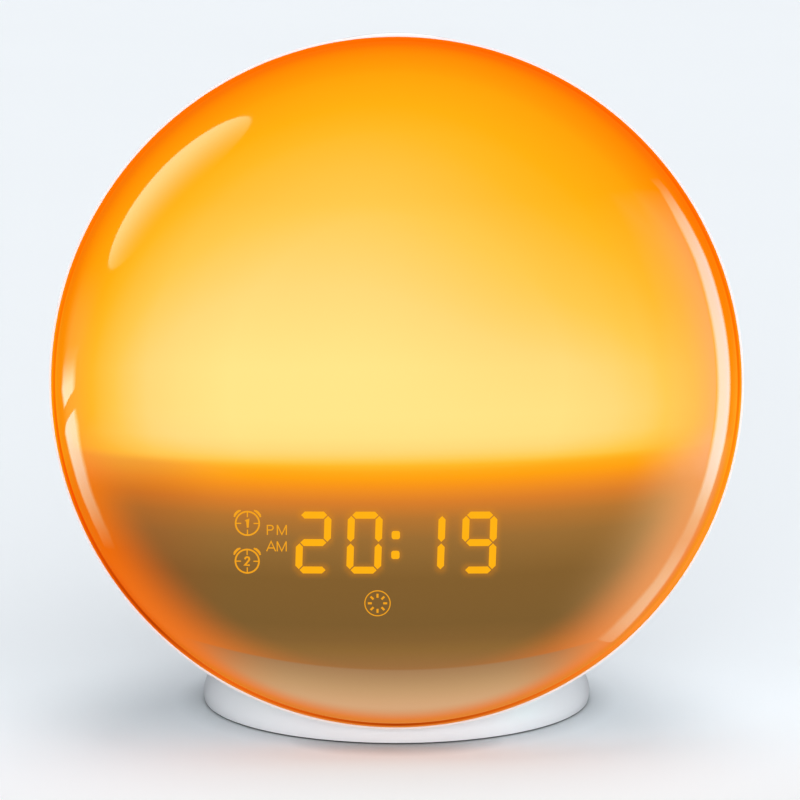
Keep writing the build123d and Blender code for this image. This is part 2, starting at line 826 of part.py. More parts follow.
def display_shroud():
    """Smoked mask behind the dome, with side walls back to the bowl, windows and two legs."""
    front = dome_solid(dome_wall + shroud_gap)
    inner_front = dome_solid(dome_wall + shroud_gap + shroud_wall)
    deep = -flange_depth - dome_height
    tail = plate(display_zone(), -flange_depth, shroud_back)
    outer = (plate(display_zone(), deep, -flange_depth) & front) + tail
    cavity_tail = plate(display_zone(-shroud_wall), -flange_depth - 0.01, shroud_back + 1)
    cavity = (plate(display_zone(-shroud_wall), deep, -flange_depth) & inner_front) + cavity_tail
    shroud = outer - cavity - plate(display_windows(0.3), deep, display_front + 2)
    for x, z in leg_places:
        leg = rod(x, z, display_board_back, bowl_floor_setback, shroud_leg_radius)
        arm = block(x - 1, x + 1, display_board_back, shroud_back, z - 40, z) & outer
        shroud += leg + arm
        pilot = screw_radius + pilot_gap
        shroud -= rod(x, z, bowl_floor_setback - 8, bowl_floor_setback + 1, pilot)
        shroud -= rod(x, z, display_board_front, display_board_front + 8, pilot)
    return shroud


def display_board():
    """Green board behind the display block, screwed to the shroud's legs."""
    outline = Pos(display_board_x, display_board_z) * RectangleRounded(
        display_board_width, display_board_height, 2
    )
    board = plate(outline, display_board_front, display_board_back)
    for x, z in leg_places:
        board -= rod(x, z, display_board_front - 1, display_board_front + 3, screw_radius + hole_gap)
    return board


def display_block():
    """Moulded block whose light wells lie under the digits and symbols."""
    body = plate(display_windows(), display_front, display_board_front)
    for x, z in leg_places:
        body -= rod(x, z, display_front, display_board_front, screw_head_radius + hole_gap)
    return body


def segment(length):
    """One lit bar along X with pointed ends."""
    half, point = length / 2 - segment_gap, digit_stroke / 2
    return make_face(
        Polyline(
            (-half, 0), (-half + point, point), (half - point, point), (half, 0),
            (half - point, -point), (-half + point, -point), close=True,
        )
    )


def digit(character, x):
    """The lit bars of one seven-segment digit."""
    across = digit_width - digit_stroke
    tall = (digit_height - digit_stroke) / 2
    places = {
        "a": (0, tall, 0), "g": (0, 0, 0), "d": (0, -tall, 0),
        "f": (-across / 2, tall / 2, 90), "b": (across / 2, tall / 2, 90),
        "e": (-across / 2, -tall / 2, 90), "c": (across / 2, -tall / 2, 90),
    }
    bars = []
    for name in segment_map[character]:
        sx, sz, turn = places[name]
        bar = segment(across if turn == 0 else tall)
        place = Pos(x + sx, digit_centre_z + sz) * Rot(0, 0, turn)
        bars.append(plate(place * bar, display_front - digit_relief, display_front))
    return bars


def digit_segments():
    """The lit digits and the colon between them."""
    solids = []
    for character, x in zip(shown, digit_columns):
        solids += digit(character, x)
    for dz in (-colon_half, colon_half):
        dot = Pos(colon_x, digit_centre_z + dz) * Rectangle(digit_stroke, digit_stroke)
        solids.append(plate(dot, display_front - digit_relief, display_front))
    return solids


def bar_mark(x, z, length, turn):
    """A thin stroke of a symbol, centred on a point."""
    return Pos(x, z) * Rot(0, 0, turn) * Rectangle(length, symbol_line)


def alarm_symbol(z, twin):
    """A small bell-clock face: a ring with two ears, and one or two strokes for its number."""
    face = Circle(alarm_symbol_radius) - Circle(alarm_symbol_radius - symbol_line)
    for side in (-1, 1):
        face += bar_mark(side * alarm_symbol_radius * 0.85, alarm_symbol_radius * 0.85, 2.0, -side * 45)
    strokes = (-0.5, 0.5) if twin else (0,)
    for x in strokes:
        face += Pos(x, 0) * Rectangle(symbol_line, 2.4)
    return Pos(alarm_symbol_x, z) * face


def sun_symbol_mark():
    """A ring with eight short rays inside it."""
    face = Circle(sun_symbol_radius) - Circle(sun_symbol_radius - symbol_line)
    for i in range(8):
        face += Rot(0, 0, 45 * i) * Pos(sun_symbol_radius * 0.5, 0) * Rectangle(1.2, symbol_line)
    return Pos(*sun_symbol) * face


def display_symbols():
    """Lit symbols: two alarms, the two half-day marks and the light mark."""
    faces = [alarm_symbol(alarm_symbol_z[0], False), alarm_symbol(alarm_symbol_z[1], True)]
    for z in meridiem_z:
        faces.append(Pos(meridiem_x, z) * Rectangle(3.6, 1.2))
    faces.append(sun_symbol_mark())
    solids = []
    for face in faces:
        solids += plate(face, display_front - symbol_relief, display_front).solids()
    return solids


# ---- main board and what it carries


def main_board():
    """Green main board on the housing's four posts."""
    outline = Pos(0, main_board_z) * RectangleRounded(main_board_width, main_board_height, 3)
    board = plate(outline, board_front, board_back)
    for x, z in post_places:
        board -= rod(x, z, board_front - 1, board_back + 1, screw_radius + hole_gap)
    return board


def on_board(x, z, width, height, thickness):
    """A rectangular component on the main board's front face."""
    across, tall = width / 2, height / 2
    body = block(x - across, x + across, board_front - thickness, board_front, z - tall, z + tall)
    return chamfer(body.faces().sort_by(Axis.Y)[0].edges(), min(0.3, thickness / 4))


def board_capacitors():
    """Upright electrolytic capacitors."""
    x, z = main_board_width / 2 - 12, main_board_z - 4
    places = ((x, z), (x, z - 8), (x - 8, z - 12))
    return [rod(*place, board_front - 9, board_front, 3.1) for place in places]


# ---- speaker


def speaker_frame():
    """Pressed steel basket: a flange on the gasket, a cone-shaped basket and a flat bottom."""
    throat = speaker_cone_radius + speaker_surround_width
    bottom = frame_front - speaker_depth
    step = frame_front - speaker_step
    profile = make_face(
        Polyline(
            (throat, gasket_front), (speaker_radius, gasket_front), (speaker_radius, frame_front),
            (throat + 1.2, frame_front), (throat + 1.2, step), (magnet_radius + 1.2, bottom),
            (magnet_radius * 0.5, bottom), (magnet_radius * 0.5, bottom + 1.2),
            (magnet_radius, bottom + 1.2), (throat, step), close=True,
        )
    )
    frame = revolve(profile, Axis.Y)
    ports = [
        Rot(0, 45 + 90 * i, 0) * block(magnet_radius, throat + 4, bottom + 3.5, bottom + 9, -5, 5)
        for i in range(4)
    ]
    frame -= ports
    frame = Pos(0, 0, speaker_z) * frame
    for x, z in speaker_ears:
        frame -= rod(x, z, frame_front - 1, gasket_front + 1, screw_radius + hole_gap)
    return frame


def speaker_magnet():
    """Ferrite ring magnet with its back plate, as one stack."""
    bottom = frame_front - speaker_depth
    stack = rod(0, speaker_z, bottom - magnet_depth, bottom, magnet_radius)
    return chamfer(stack.edges().group_by(Axis.Y)[0], 0.8)


def speaker_cone():
    """Paper cone with its dust cap and voice coil, moving along the speaker's axis."""
    front = gasket_front - 0.9
    neck = front - 6.5
    coil = magnet_radius * 0.5 - 0.3
    profile = make_face(
        Polyline(
            (0, neck + 0.8), (coil, neck + 0.8), (speaker_cone_radius - 1.2, front),
            (speaker_cone_radius, front), (speaker_cone_radius, front - 0.6),
            (coil + 0.2, neck), (0, neck), close=True,
        )
    )
    former = ring(coil - 0.5, coil, frame_front - speaker_depth + 2 * speaker_travel, neck + 0.4)
    return Pos(0, 0, speaker_z) * (revolve(profile, Axis.Y) + former)


def speaker_surround():
    """Foam half-roll between the cone and the frame."""
    front = gasket_front - 0.9
    inner = speaker_cone_radius + 0.05
    outer = speaker_cone_radius + speaker_surround_width - 0.05
    middle, half = (inner + outer) / 2, (outer - inner) / 2
    roll = make_face(
        ThreePointArc((inner, front - 0.5), (middle, front - 0.5 - half * 0.8), (outer, front - 0.5))
        + Polyline((outer, front - 0.5), (outer, front), (outer - 0.6, front))
        + ThreePointArc((outer - 0.6, front), (middle, front - half * 0.55), (inner + 0.6, front))
        + Polyline((inner + 0.6, front), (inner, front), (inner, front - 0.5))
    )
    return Pos(0, 0, speaker_z) * revolve(roll, Axis.Y)


def speaker_gasket():
    """Foam ring between the speaker's flange and the back wall."""
    inner = speaker_cone_radius + speaker_surround_width
    gasket = Pos(0, 0, speaker_z) * ring(inner, speaker_radius, gasket_front, inner_back)
    return gasket - [rod(x, z, gasket_front - 1, inner_back + 1, ear_radius + 0.2) for x, z in speaker_ears]


# ---- rear panel


def dc_jack():
    """Power inlet: a moulded block with a round snout in the back wall, a bore and a centre pin."""
    rail = jack_width / 2
    body = block(
        jack_x - rail, jack_x + rail, inner_back - jack_depth, inner_back, jack_z - 5.5, jack_z + 5.5
    )
    body += rod(jack_x, jack_z, inner_back, housing_depth - 0.2, jack_snout_radius)
    mouth = housing_depth - 0.2
    body -= rod(jack_x, jack_z, mouth - jack_bore_depth, mouth + 1, jack_bore_radius)
    return body + rod(jack_x, jack_z, mouth - jack_bore_depth - 1, mouth - 1.5, jack_pin_radius)


def reset_switch():
    """Small switch behind the reset pinhole."""
    half = switch_side / 2
    top = inner_back - 1.2
    body = block(reset_x - half, reset_x + half, top - 3.8, top, reset_z - half, reset_z + half)
    return body + rod(reset_x, reset_z, top, inner_back, plunger_radius)


def aerial_grommet():
    """Soft bush in the back wall where the aerial wire would leave."""
    bush = rod(grommet_x, grommet_z, inner_back - 1, housing_depth + 0.8, grommet_radius)
    bush += rod(grommet_x, grommet_z, housing_depth, housing_depth + 0.8, grommet_radius + grommet_lip)
    bush += rod(grommet_x, grommet_z, inner_back - 1, inner_back, grommet_radius + grommet_lip)
    return bush - rod(grommet_x, grommet_z, inner_back - 2, housing_depth + 2, grommet_bore)


# ---- leads inside the head


def tube(points, radius, bend):
    """A round lead through points, with tangent arcs at its corners."""
    path = FilletPolyline(*points, radius=bend)
    section = Plane(path @ 0, z_dir=path % 0) * Circle(radius)
    return sweep(section, path)


def display_ribbon():
    """Flat ribbon from the display board to the main board."""
    return block(
        -ribbon_width / 2, ribbon_width / 2, display_board_back, board_front,
        ribbon_z - ribbon_thickness / 2, ribbon_z + ribbon_thickness / 2,
    )


def light_leads():
    """Two leads from the light board, through the bowl's hole, to the main board."""
    places = ((-1.4, light_lead_z), (1.4, light_lead_z))
    return [rod(x, z, bowl_floor_setback, board_front, lead_radius) for x, z in places]


def speaker_leads():
    """Two leads from the speaker's flange to the main board."""
    x = speaker_radius - 2.8
    return [rod(x, speaker_z + dz, board_back, frame_front, lead_radius) for dz in (-1, 1.4)]


def key_lead(side):
    """Lead from one side key board, round behind the bowl, to the main board."""
    angle = sum(key_angles(side)) / key_count
    c, s = cos(radians(angle)), sin(radians(angle))
    end_x, end_z = side * (main_board_width / 2 - 4), main_board_z - 5
    points = [
        (key_board_inner * c, key_setback + 2, key_board_inner * s),
        ((key_board_inner - 2.6) * c, key_setback + 2, (key_board_inner - 2.6) * s),
        ((key_board_inner - 6) * c, board_front - 6, (key_board_inner - 6) * s),
        (end_x, board_front - 6, end_z),
        (end_x, board_front, end_z),
    ]
    return tube(points, lead_radius, 1.2)


def top_key_lead():
    """Lead from the snooze bar's key board to the main board."""
    z = top_board_top - key_board_thickness
    x, y, end_z = 20.0, snooze_setback + 2, main_board_z + main_board_height / 2 - 6
    points = [
        (x, y, z), (x, y, z - 2), (x, board_front - 6, z - 6),
        (x, board_front - 6, end_z), (x, board_front, end_z),
    ]
    return tube(points, lead_radius, 0.9)


def dc_leads():
    """Two leads from the power inlet to the main board."""
    end = inner_back - jack_depth
    return [rod(jack_x + dx, jack_z + 2.5, board_back, end, lead_radius) for dx in (-2, 2)]


def lead_sockets():
    """White sockets on the main board for the leads."""
    places = ((-10, main_board_z - 14), (12, main_board_z + 22))
    return [on_board(x, z, 6, 4, 4) for x, z in places]


# ---- foot


def foot_solid(inset=0.0):
    """The foot's flared form: upright at the table, drawn in and forward to a neck under the head."""
    sections = []
    for i in range(foot_levels + 1):
        h = i / foot_levels
        flow = h * h * (3 - 2 * h)
        edge = foot_edge if i == 0 else 0.0
        outline = Ellipse(
            base_half_width - neck_width_in * flow - edge - inset,
            base_half_depth - neck_depth_in * flow - edge - inset,
        )
        level = rim_lift + (base_rise - rim_lift) * h
        sections.append(Pos(0, base_y - neck_forward * flow, level) * outline)
    return loft(sections)


plate_top = plate_lift + plate_thickness
plate_half_width = base_half_width - base_wall - plate_gap
plate_half_depth = base_half_depth - base_wall - plate_gap
corners = [(sx, sy) for sx in (-1, 1) for sy in (-1, 1)]
plate_screw_places = [
    (sx * plate_half_width * 0.78, base_y + sy * plate_half_depth * 0.45) for sx, sy in corners
]
foot_places = [
    (sx * plate_half_width * 0.52, base_y + sy * plate_half_depth * 0.52) for sx, sy in corners
]
cap_y = base_y + cap_setback
holder_outer = cap_radius + cap_gap + lug_reach + 0.4 + holder_wall
holder_ceiling = plate_top + holder_height - holder_roof
cell_bottom = plate_top + lug_lift
cell_top = cell_bottom + cell_thickness


def upright(x, y, bottom, top, radius):
    """A round bar in the table frame."""
    bar = Cylinder(radius, top - bottom, align=(Align.CENTER, Align.CENTER, Align.MIN))
    return Pos(x, y, bottom) * bar


def base_shell():
    """White flared foot with a saddle for the head, a deck for its screws and posts for the plate."""
    outer = foot_solid()
    recess = Pos(0, base_y, 0) * extrude(
        Ellipse(base_half_width - base_wall, base_half_depth - base_wall), plate_top
    )
    shell = outer - foot_solid(base_wall) - recess
    deck = block(
        -base_half_width, base_half_width, base_y + deck_front, base_y + deck_back,
        deck_top - deck_thickness, deck_top,
    )
    shell += deck & outer
    for x, y in plate_screw_places:
        post = upright(x, y, plate_top, deck_top, plate_post_radius)
        end = x + (plate_web_reach if x > 0 else -plate_web_reach)
        web = block(
            min(x, end), max(x, end), y - plate_web_half, y + plate_web_half, plate_top, deck_top
        )
        shell += (post + web) & outer
    shell -= HEAD * (head_solid(seat_gap))
    pilot = screw_radius + pilot_gap
    for x, y in plate_screw_places:
        shell -= upright(x, y, plate_top - 1, plate_top + screw_length + 0.5, pilot)
    shell -= foot_pads(screw_radius + hole_gap, deck_top - 5, deck_top + 1)
    shell -= foot_pads(pad_radius + hole_gap, deck_top, deck_top + 14)
    return shell


def base_plate():
    """Bottom cover with its screw holes and the battery opening's bayonet slots."""
    outline = Ellipse(plate_half_width, plate_half_depth)
    cover = Pos(0, base_y, plate_lift) * extrude(outline, plate_thickness)
    for x, y in plate_screw_places:
        cover -= upright(x, y, plate_lift - 1, plate_top + 1, screw_radius + hole_gap)
        cover -= upright(x, y, plate_lift - 1, plate_lift + 0.6, screw_head_radius + hole_gap)
    holder = upright(0, cap_y, plate_top, plate_top + holder_height, holder_outer)
    holder -= upright(0, cap_y, plate_top, holder_ceiling, holder_outer - holder_wall)
    cover += holder
    cover -= upright(0, cap_y, plate_lift - 1, plate_top + 0.01, cap_radius + cap_gap)
    for start in (cap_turn, cap_turn + 180):
        slot = lug_sector(plate_lift - 1, plate_top + 0.01, slot_spare)
        cover -= Pos(0, cap_y, 0) * Rot(0, 0, start) * slot
    for x in battery_lead_x:
        y = cap_y + battery_lead_back
        cover -= upright(x, y, plate_top + 2, plate_top + holder_height + 1, 2 * lead_radius)
    return cover


def lug_sector(bottom, top, extra):
    """A lug of the battery cap, or its slot with extra degrees on each side."""
    wide = 2 * (cap_radius + lug_reach)
    reach = cap_radius + lug_reach + (0.3 if extra else 0)
    sector = Circle(reach) - Circle(cell_radius + cell_gap)
    half = lug_sweep / 2 + extra
    wedge = make_face(
        Polyline(
            (0, 0), (wide, -wide * sin(radians(half)) / cos(radians(half))),
            (wide, wide * sin(radians(half)) / cos(radians(half))), close=True,
        )
    )
    return Pos(0, 0, bottom) * extrude(sector & wedge, top - bottom)


def battery_cap():
    """Twist cap under the coin cell: a disc with a coin slot, a collar and two bayonet lugs."""
    disc = upright(0, 0, plate_lift - 0.2, plate_top, cap_radius)
    disc -= Pos(0, 0, plate_lift - 0.2) * Box(13, 1.8, 2.0)
    lug_top = plate_top + lug_lift + lug_thickness
    collar = upright(0, 0, plate_top, lug_top, cell_radius + cell_gap + 1.2)
    collar -= upright(0, 0, plate_top, plate_top + 3, cell_radius + cell_gap)
    cap = disc + collar
    for start in (0, 180):
        cap += Rot(0, 0, start) * lug_sector(plate_top + lug_lift, lug_top, 0)
    return Pos(0, cap_y, 0) * cap


def coin_cell():
    """Back-up cell: a wide can between a narrower lid and a raised face."""
    lid = upright(0, cap_y, cell_bottom, cell_bottom + 0.5, cell_radius - 1.0)
    can = upright(0, cap_y, cell_bottom + 0.5, cell_top - 0.2, cell_radius - 0.1)
    face = upright(0, cap_y, cell_top - 0.2, cell_top, cell_radius - 0.8)
    return lid + can + face


def battery_contacts():
    """Spring leaf under the holder's roof, with a finger down onto the cell."""
    half, width, gauge = 4.5, 1.6, 0.3
    leaf = block(-half, half, cap_y - width, cap_y + width, holder_ceiling - gauge, holder_ceiling)
    finger = block(half - 2 * gauge, half, cap_y - width, cap_y + width, cell_top, holder_ceiling)
    return leaf + finger


def battery_leads():
    """Two leads from the battery holder up into the head and on to the main board."""
    start_z = plate_top + holder_height
    leads = []
    for x in battery_lead_x:
        y = cap_y + battery_lead_back
        table = [(x, y, start_z), (x, y, start_z + 6), (x, lead_hole[1] - 3.5, 27.0)]
        local = [HEAD.inverse() * Pos(*point) for point in table]
        points = [tuple(place.position) for place in local]
        socket_z = main_board_z - main_board_height / 2 + 3
        points += [(x, board_back + 12, socket_z), (x, board_back, socket_z)]
        leads.append(tube(points, lead_radius, 1.5))
    return leads


# ---- write every node

os.makedirs("parts", exist_ok=True)

save_head("front_diffuser", front_diffuser())
save_head("rear_housing", rear_housing())
save_head("reflector_bowl", reflector_bowl())
save_head(
    "reflector_screws",
    *[polar(a) * Pos(lug_radius, bowl_rim_setback, 0) * Rot(-90, 0, 0) * screw() for a in lug_angles],
)
save_head("light_board", light_board())
save_head("warm_leds", *warm_leds())
save_head("colour_leds", *colour_leds())
save_head(
    "light_board_screws",
    *[Pos(x, light_front, z) * Rot(-90, 0, 0) * screw(4.5) for x, z in light_screw_places()],
)
save_head("display_shroud", display_shroud())
save_head("display_board", display_board())
save_head("display_block", display_block())
save_head("digit_segments", *digit_segments())
save_head("display_symbols", *display_symbols())
save_head(
    "display_screws",
    *[Pos(x, bowl_floor_back, z) * Rot(90, 0, 0) * screw(7.5) for x, z in leg_places],
    *[Pos(x, display_board_front, z) * Rot(-90, 0, 0) * screw(6.5) for x, z in leg_places],
)
save_head("main_board", main_board())
save_head(
    "main_board_screws",
    *[Pos(x, board_front, z) * Rot(-90, 0, 0) * screw() for x, z in post_places],
)
save_head(
    "control_chips",
    on_board(-2, main_board_z + 8, 12, 12, 1.6), on_board(14, main_board_z + 6, 9, 6, 1.5),
    on_board(-14, main_board_z - 4, 5, 5, 1.4),
)
save_head(
    "radio_module",
    on_board(
        radio_inset_x - main_board_width / 2, main_board_z + main_board_height / 2 - radio_inset_z,
        16, 14, 3.0,
    ),
)
save_head("board_capacitors", *board_capacitors())
save_head("lead_sockets", *lead_sockets())
save_head("dc_jack", dc_jack())
save_head("reset_switch", reset_switch())
save_head("aerial_grommet", aerial_grommet())
save_head("speaker_frame", speaker_frame())
save_head("speaker_magnet", speaker_magnet())
save_head("speaker_cone", speaker_cone())
save_head("speaker_surround", speaker_surround())
save_head("speaker_gasket", speaker_gasket())
save_head(
    "speaker_screws",
    *[Pos(x, frame_front, z) * Rot(-90, 0, 0) * screw(3.4) for x, z in speaker_ears],
)
save_head("left_key_board", side_key_board(-1))
save_head("right_key_board", side_key_board(1))
save_head("top_key_board", top_key_board())
save_head("key_switches", *key_switches())
save_head("key_board_screws", *key_board_screws())
for side, names in (
    (-1, ("alarm1_button", "alarm2_button", "time_button", "light_button")),
    (1, ("plus_button", "minus_button", "sound_button", "radio_button")),
):
    for name, angle in zip(names, key_angles(side)):
        save_head(name, side_button(angle))
save_head("snooze_button", snooze_button())
save_head("snooze_springs", *[snooze_spring(x) for x in (-spring_offset, spring_offset)])
save_head("display_ribbon", display_ribbon())
save_head("light_leads", *light_leads())
save_head("speaker_leads", *speaker_leads())
save_head("key_leads", key_lead(-1), key_lead(1), top_key_lead())
save_head("dc_leads", *dc_leads())
save_head("battery_leads", *battery_leads())
save("base_shell", base_shell())
save("base_plate", base_plate())
save(
    "base_screws",
    *[Pos(x, base_y + y, deck_top - deck_thickness) * screw(10) for x, y in pad_places],
)
save(
    "plate_screws",
    *[Pos(x, y, plate_lift + 0.6) * screw(7.5) for x, y in plate_screw_places],
)
save("rubber_feet", *[upright(x, y, 0, plate_lift, foot_radius) for x, y in foot_places])
save("battery_cap", battery_cap())
save("coin_cell", coin_cell())
save("battery_contacts", battery_contacts())
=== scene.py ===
"""Looks for the sunrise alarm clock, piece by piece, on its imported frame, in metres."""

import math

import bpy
from mathutils import Matrix, Vector


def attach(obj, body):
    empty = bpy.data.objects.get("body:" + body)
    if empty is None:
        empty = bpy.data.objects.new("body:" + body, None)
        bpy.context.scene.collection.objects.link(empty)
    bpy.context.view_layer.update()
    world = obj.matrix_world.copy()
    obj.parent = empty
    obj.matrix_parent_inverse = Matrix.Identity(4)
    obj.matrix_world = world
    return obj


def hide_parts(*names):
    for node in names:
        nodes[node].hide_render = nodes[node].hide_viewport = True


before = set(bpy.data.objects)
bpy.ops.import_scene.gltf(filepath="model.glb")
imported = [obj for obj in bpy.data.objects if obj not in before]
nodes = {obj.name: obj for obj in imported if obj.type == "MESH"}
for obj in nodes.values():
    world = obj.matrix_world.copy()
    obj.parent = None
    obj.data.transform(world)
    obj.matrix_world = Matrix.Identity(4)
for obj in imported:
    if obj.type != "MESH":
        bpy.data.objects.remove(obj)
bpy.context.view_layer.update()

# ---------------------------------------------------------------- rear housing
# Injection-moulded ABS shell, polished in the tool, so it shows soft clear reflections over a very
# slight waviness. The dome snaps into its front edge and every inner piece is screwed to its bosses.

MM = 0.001


def linear(hex_colour):
    """sRGB hex to the linear colour that shaders take."""
    channels = [int(hex_colour[i : i + 2], 16) / 255 for i in (0, 2, 4)]
    straight = [c / 12.92 if c <= 0.04045 else ((c + 0.055) / 1.055) ** 2.4 for c in channels]
    return (*straight, 1.0)


def add_node(tree, kind, inputs=None, **settings):
    """Adds a shader node; each input is a value, or an output socket to link from."""
    node = tree.nodes.new(kind)
    for name, setting in settings.items():
        setattr(node, name, setting)
    for name, source in (inputs or {}).items():
        if isinstance(source, bpy.types.NodeSocket):
            tree.links.new(source, node.inputs[name])
        else:
            node.inputs[name].default_value = source
    return node


def finish_of(name, colour, second, patch_mm, roughness, bump_mm=0.0, grain_mm=0.5, **sockets):
    """A material whose colour wanders between two hex values in patches, with a fine bump."""
    material = bpy.data.materials.new(name)
    material.use_nodes = True
    tree = material.node_tree
    tree.nodes.clear()
    place = add_node(tree, "ShaderNodeTexCoord")
    patches = add_node(
        tree, "ShaderNodeTexNoise",
        {"Vector": place.outputs["Object"], "Scale": 1 / (patch_mm * MM), "Detail": 3.0, "Roughness": 0.55},
    )
    ramp = add_node(tree, "ShaderNodeValToRGB", {"Fac": patches.outputs["Fac"]})
    ramp.color_ramp.elements[0].position = 0.3
    ramp.color_ramp.elements[0].color = linear(colour)
    ramp.color_ramp.elements[1].position = 0.7
    ramp.color_ramp.elements[1].color = linear(second)
    shader = add_node(
        tree, "ShaderNodeBsdfPrincipled",
        {"Base Color": ramp.outputs["Color"], "Roughness": roughness, **sockets},
    )
    if bump_mm:
        grain = add_node(
            tree, "ShaderNodeTexNoise",
            {"Vector": place.outputs["Object"], "Scale": 1 / (grain_mm * MM), "Detail": 2.0},
        )
        bump = add_node(
            tree, "ShaderNodeBump",
            {"Height": grain.outputs["Fac"], "Distance": bump_mm * MM, "Strength": 1.0},
        )
        tree.links.new(bump.outputs["Normal"], shader.inputs["Normal"])
    add_node(tree, "ShaderNodeOutputMaterial", {"Surface": shader.outputs["BSDF"]})
    return material


def dress(material, *names):
    """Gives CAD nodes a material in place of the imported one."""
    for name in names:
        slots = nodes[name].data.materials
        slots.clear()
        slots.append(material)


polished_abs = finish_of(
    "polished white ABS", "F1F3F5", "ECEEF1", patch_mm=60, roughness=0.2, bump_mm=0.004, grain_mm=3.0,
    **{"Coat Weight": 0.4, "Coat Roughness": 0.08},
)
dress(polished_abs, "rear_housing")

# ---------------------------------------------------------------- reflector and lamps
# Matt white bowl behind the dome, with an aluminium board of warm and coloured lamps on its floor.
# The board is screen printed white, the warm lamps are yellow phosphor under clear resin.

matt_reflector = finish_of("matt white polycarbonate", "F4F3EF", "EEEDE8", patch_mm=40, roughness=0.7,
                           bump_mm=0.01, grain_mm=0.4)
zinc_steel = finish_of("zinc-plated steel", "B9BBBF", "A5A8AD", patch_mm=1.2, roughness=0.35, bump_mm=0.004,
                       grain_mm=0.2, Metallic=1.0)
printed_aluminium = finish_of("white printed aluminium", "EDEDEA", "E4E4E0", patch_mm=15, roughness=0.45)
phosphor = finish_of("phosphor under resin", "F0C64A", "E8B838", patch_mm=1.0, roughness=0.3)
clear_resin = finish_of("clear resin lamp", "E3E5E8", "D2D6DC", patch_mm=1.5, roughness=0.12)
dress(matt_reflector, "reflector_bowl")
dress(printed_aluminium, "light_board")
dress(phosphor, "warm_leds")
dress(clear_resin, "colour_leds")
dress(zinc_steel, "reflector_screws", "light_board_screws", "display_screws", "main_board_screws",
      "speaker_screws", "key_board_screws", "base_screws", "plate_screws")

# ---------------------------------------------------------------- display unit
# Smoked mask over a black moulded block whose wells light the digits, on a small green circuit board.
# The mask is satin from its tool, the board is glass epoxy under a green solder mask.

smoked_mask = finish_of("smoked polycarbonate", "3A2B1E", "33261B", patch_mm=20, roughness=0.45,
                        bump_mm=0.006, grain_mm=0.3)
solder_mask = finish_of("green solder mask", "17502E", "1F6A3D", patch_mm=1.6, roughness=0.35, bump_mm=0.02,
                        grain_mm=0.8)
black_nylon = finish_of("black moulded nylon", "161617", "1E1E20", patch_mm=3, roughness=0.5, bump_mm=0.008,
                        grain_mm=0.3)
lit_amber = finish_of("lit amber wells", "FFB010", "FFA808", patch_mm=2, roughness=0.4)
dress(smoked_mask, "display_shroud")
dress(solder_mask, "display_board", "main_board", "left_key_board", "right_key_board", "top_key_board")
dress(black_nylon, "display_block", "control_chips", "reset_switch", "key_switches")
dress(lit_amber, "digit_segments", "display_symbols")

# ---------------------------------------------------------------- main board parts
# Tinned radio can, sleeved capacitors and nylon sockets soldered to the main board.

tinned_steel = finish_of("tinned steel", "C4C3BD", "B3B2AC", patch_mm=2.5, roughness=0.3, Metallic=1.0)
sleeved_can = finish_of("heat-shrunk sleeve", "23314F", "1D2942", patch_mm=2, roughness=0.35)
cream_nylon = finish_of("cream nylon", "E8E2D0", "DED7C4", patch_mm=3, roughness=0.5)
dress(tinned_steel, "radio_module")
dress(sleeved_can, "board_capacitors")
dress(cream_nylon, "lead_sockets")

# ---------------------------------------------------------------- speaker
# Lacquered pressed-steel basket, sintered ferrite magnet, pressed paper cone in a foam roll, and a
# foam gasket that closes it against the back wall.

black_lacquer = finish_of("black lacquered steel", "17181A", "101113", patch_mm=5, roughness=0.3)
ferrite = finish_of("sintered ferrite", "2B2B2E", "232326", patch_mm=1.5, roughness=0.6, bump_mm=0.02,
                    grain_mm=0.4)
cone_paper = finish_of("pressed paper", "242322", "191817", patch_mm=1.2, roughness=0.9, bump_mm=0.05,
                       grain_mm=0.6)
black_foam = finish_of("cut foam", "1C1C1C", "131313", patch_mm=0.8, roughness=0.95, bump_mm=0.08,
                       grain_mm=0.5)
dress(black_lacquer, "speaker_frame")
dress(ferrite, "speaker_magnet")
dress(cone_paper, "speaker_cone")
dress(black_foam, "speaker_surround", "speaker_gasket")

# ---------------------------------------------------------------- rear panel pieces
# Black power inlet and a soft grey bush for the aerial wire, both seated in the back wall.

inlet_nylon = finish_of("black inlet nylon", "1A1B1D", "222326", patch_mm=3, roughness=0.4)
grey_rubber = finish_of("soft grey rubber", "6E7073", "63656A", patch_mm=2.5, roughness=0.75, bump_mm=0.02,
                        grain_mm=0.3)
dress(inlet_nylon, "dc_jack")
dress(grey_rubber, "aerial_grommet")

# ---------------------------------------------------------------- keys and snooze bar
# Moulded from the same ABS as the housing. Four pills stand in windows on each side, and the crowned
# bar lies in the top edge over two light steel springs.

key_abs = finish_of(
    "white key ABS", "F4F5F7", "F0F1F4", patch_mm=12, roughness=0.24, bump_mm=0.003, grain_mm=1.5,
    **{"Coat Weight": 0.3, "Coat Roughness": 0.1},
)
spring_wire = finish_of("drawn spring wire", "B4B5B8", "9C9DA1", patch_mm=0.6, roughness=0.28, Metallic=1.0)
dress(key_abs, "alarm1_button", "alarm2_button", "time_button", "light_button", "plus_button",
      "minus_button", "sound_button", "radio_button", "snooze_button")
dress(spring_wire, "snooze_springs")

# ---------------------------------------------------------------- inner leads
# Vinyl-covered leads and one flat ribbon, all shut inside the head.

ribbon_vinyl = finish_of("grey ribbon vinyl", "9EA1A6", "8B8E94", patch_mm=1.2, roughness=0.5)
red_vinyl = finish_of("red lead vinyl", "9E1F1B", "8C1A17", patch_mm=2, roughness=0.4)
white_vinyl = finish_of("white lead vinyl", "DCDCDA", "D0D0CE", patch_mm=2, roughness=0.4)
dress(ribbon_vinyl, "display_ribbon")
dress(red_vinyl, "light_leads", "speaker_leads", "dc_leads", "battery_leads")
dress(white_vinyl, "key_leads")

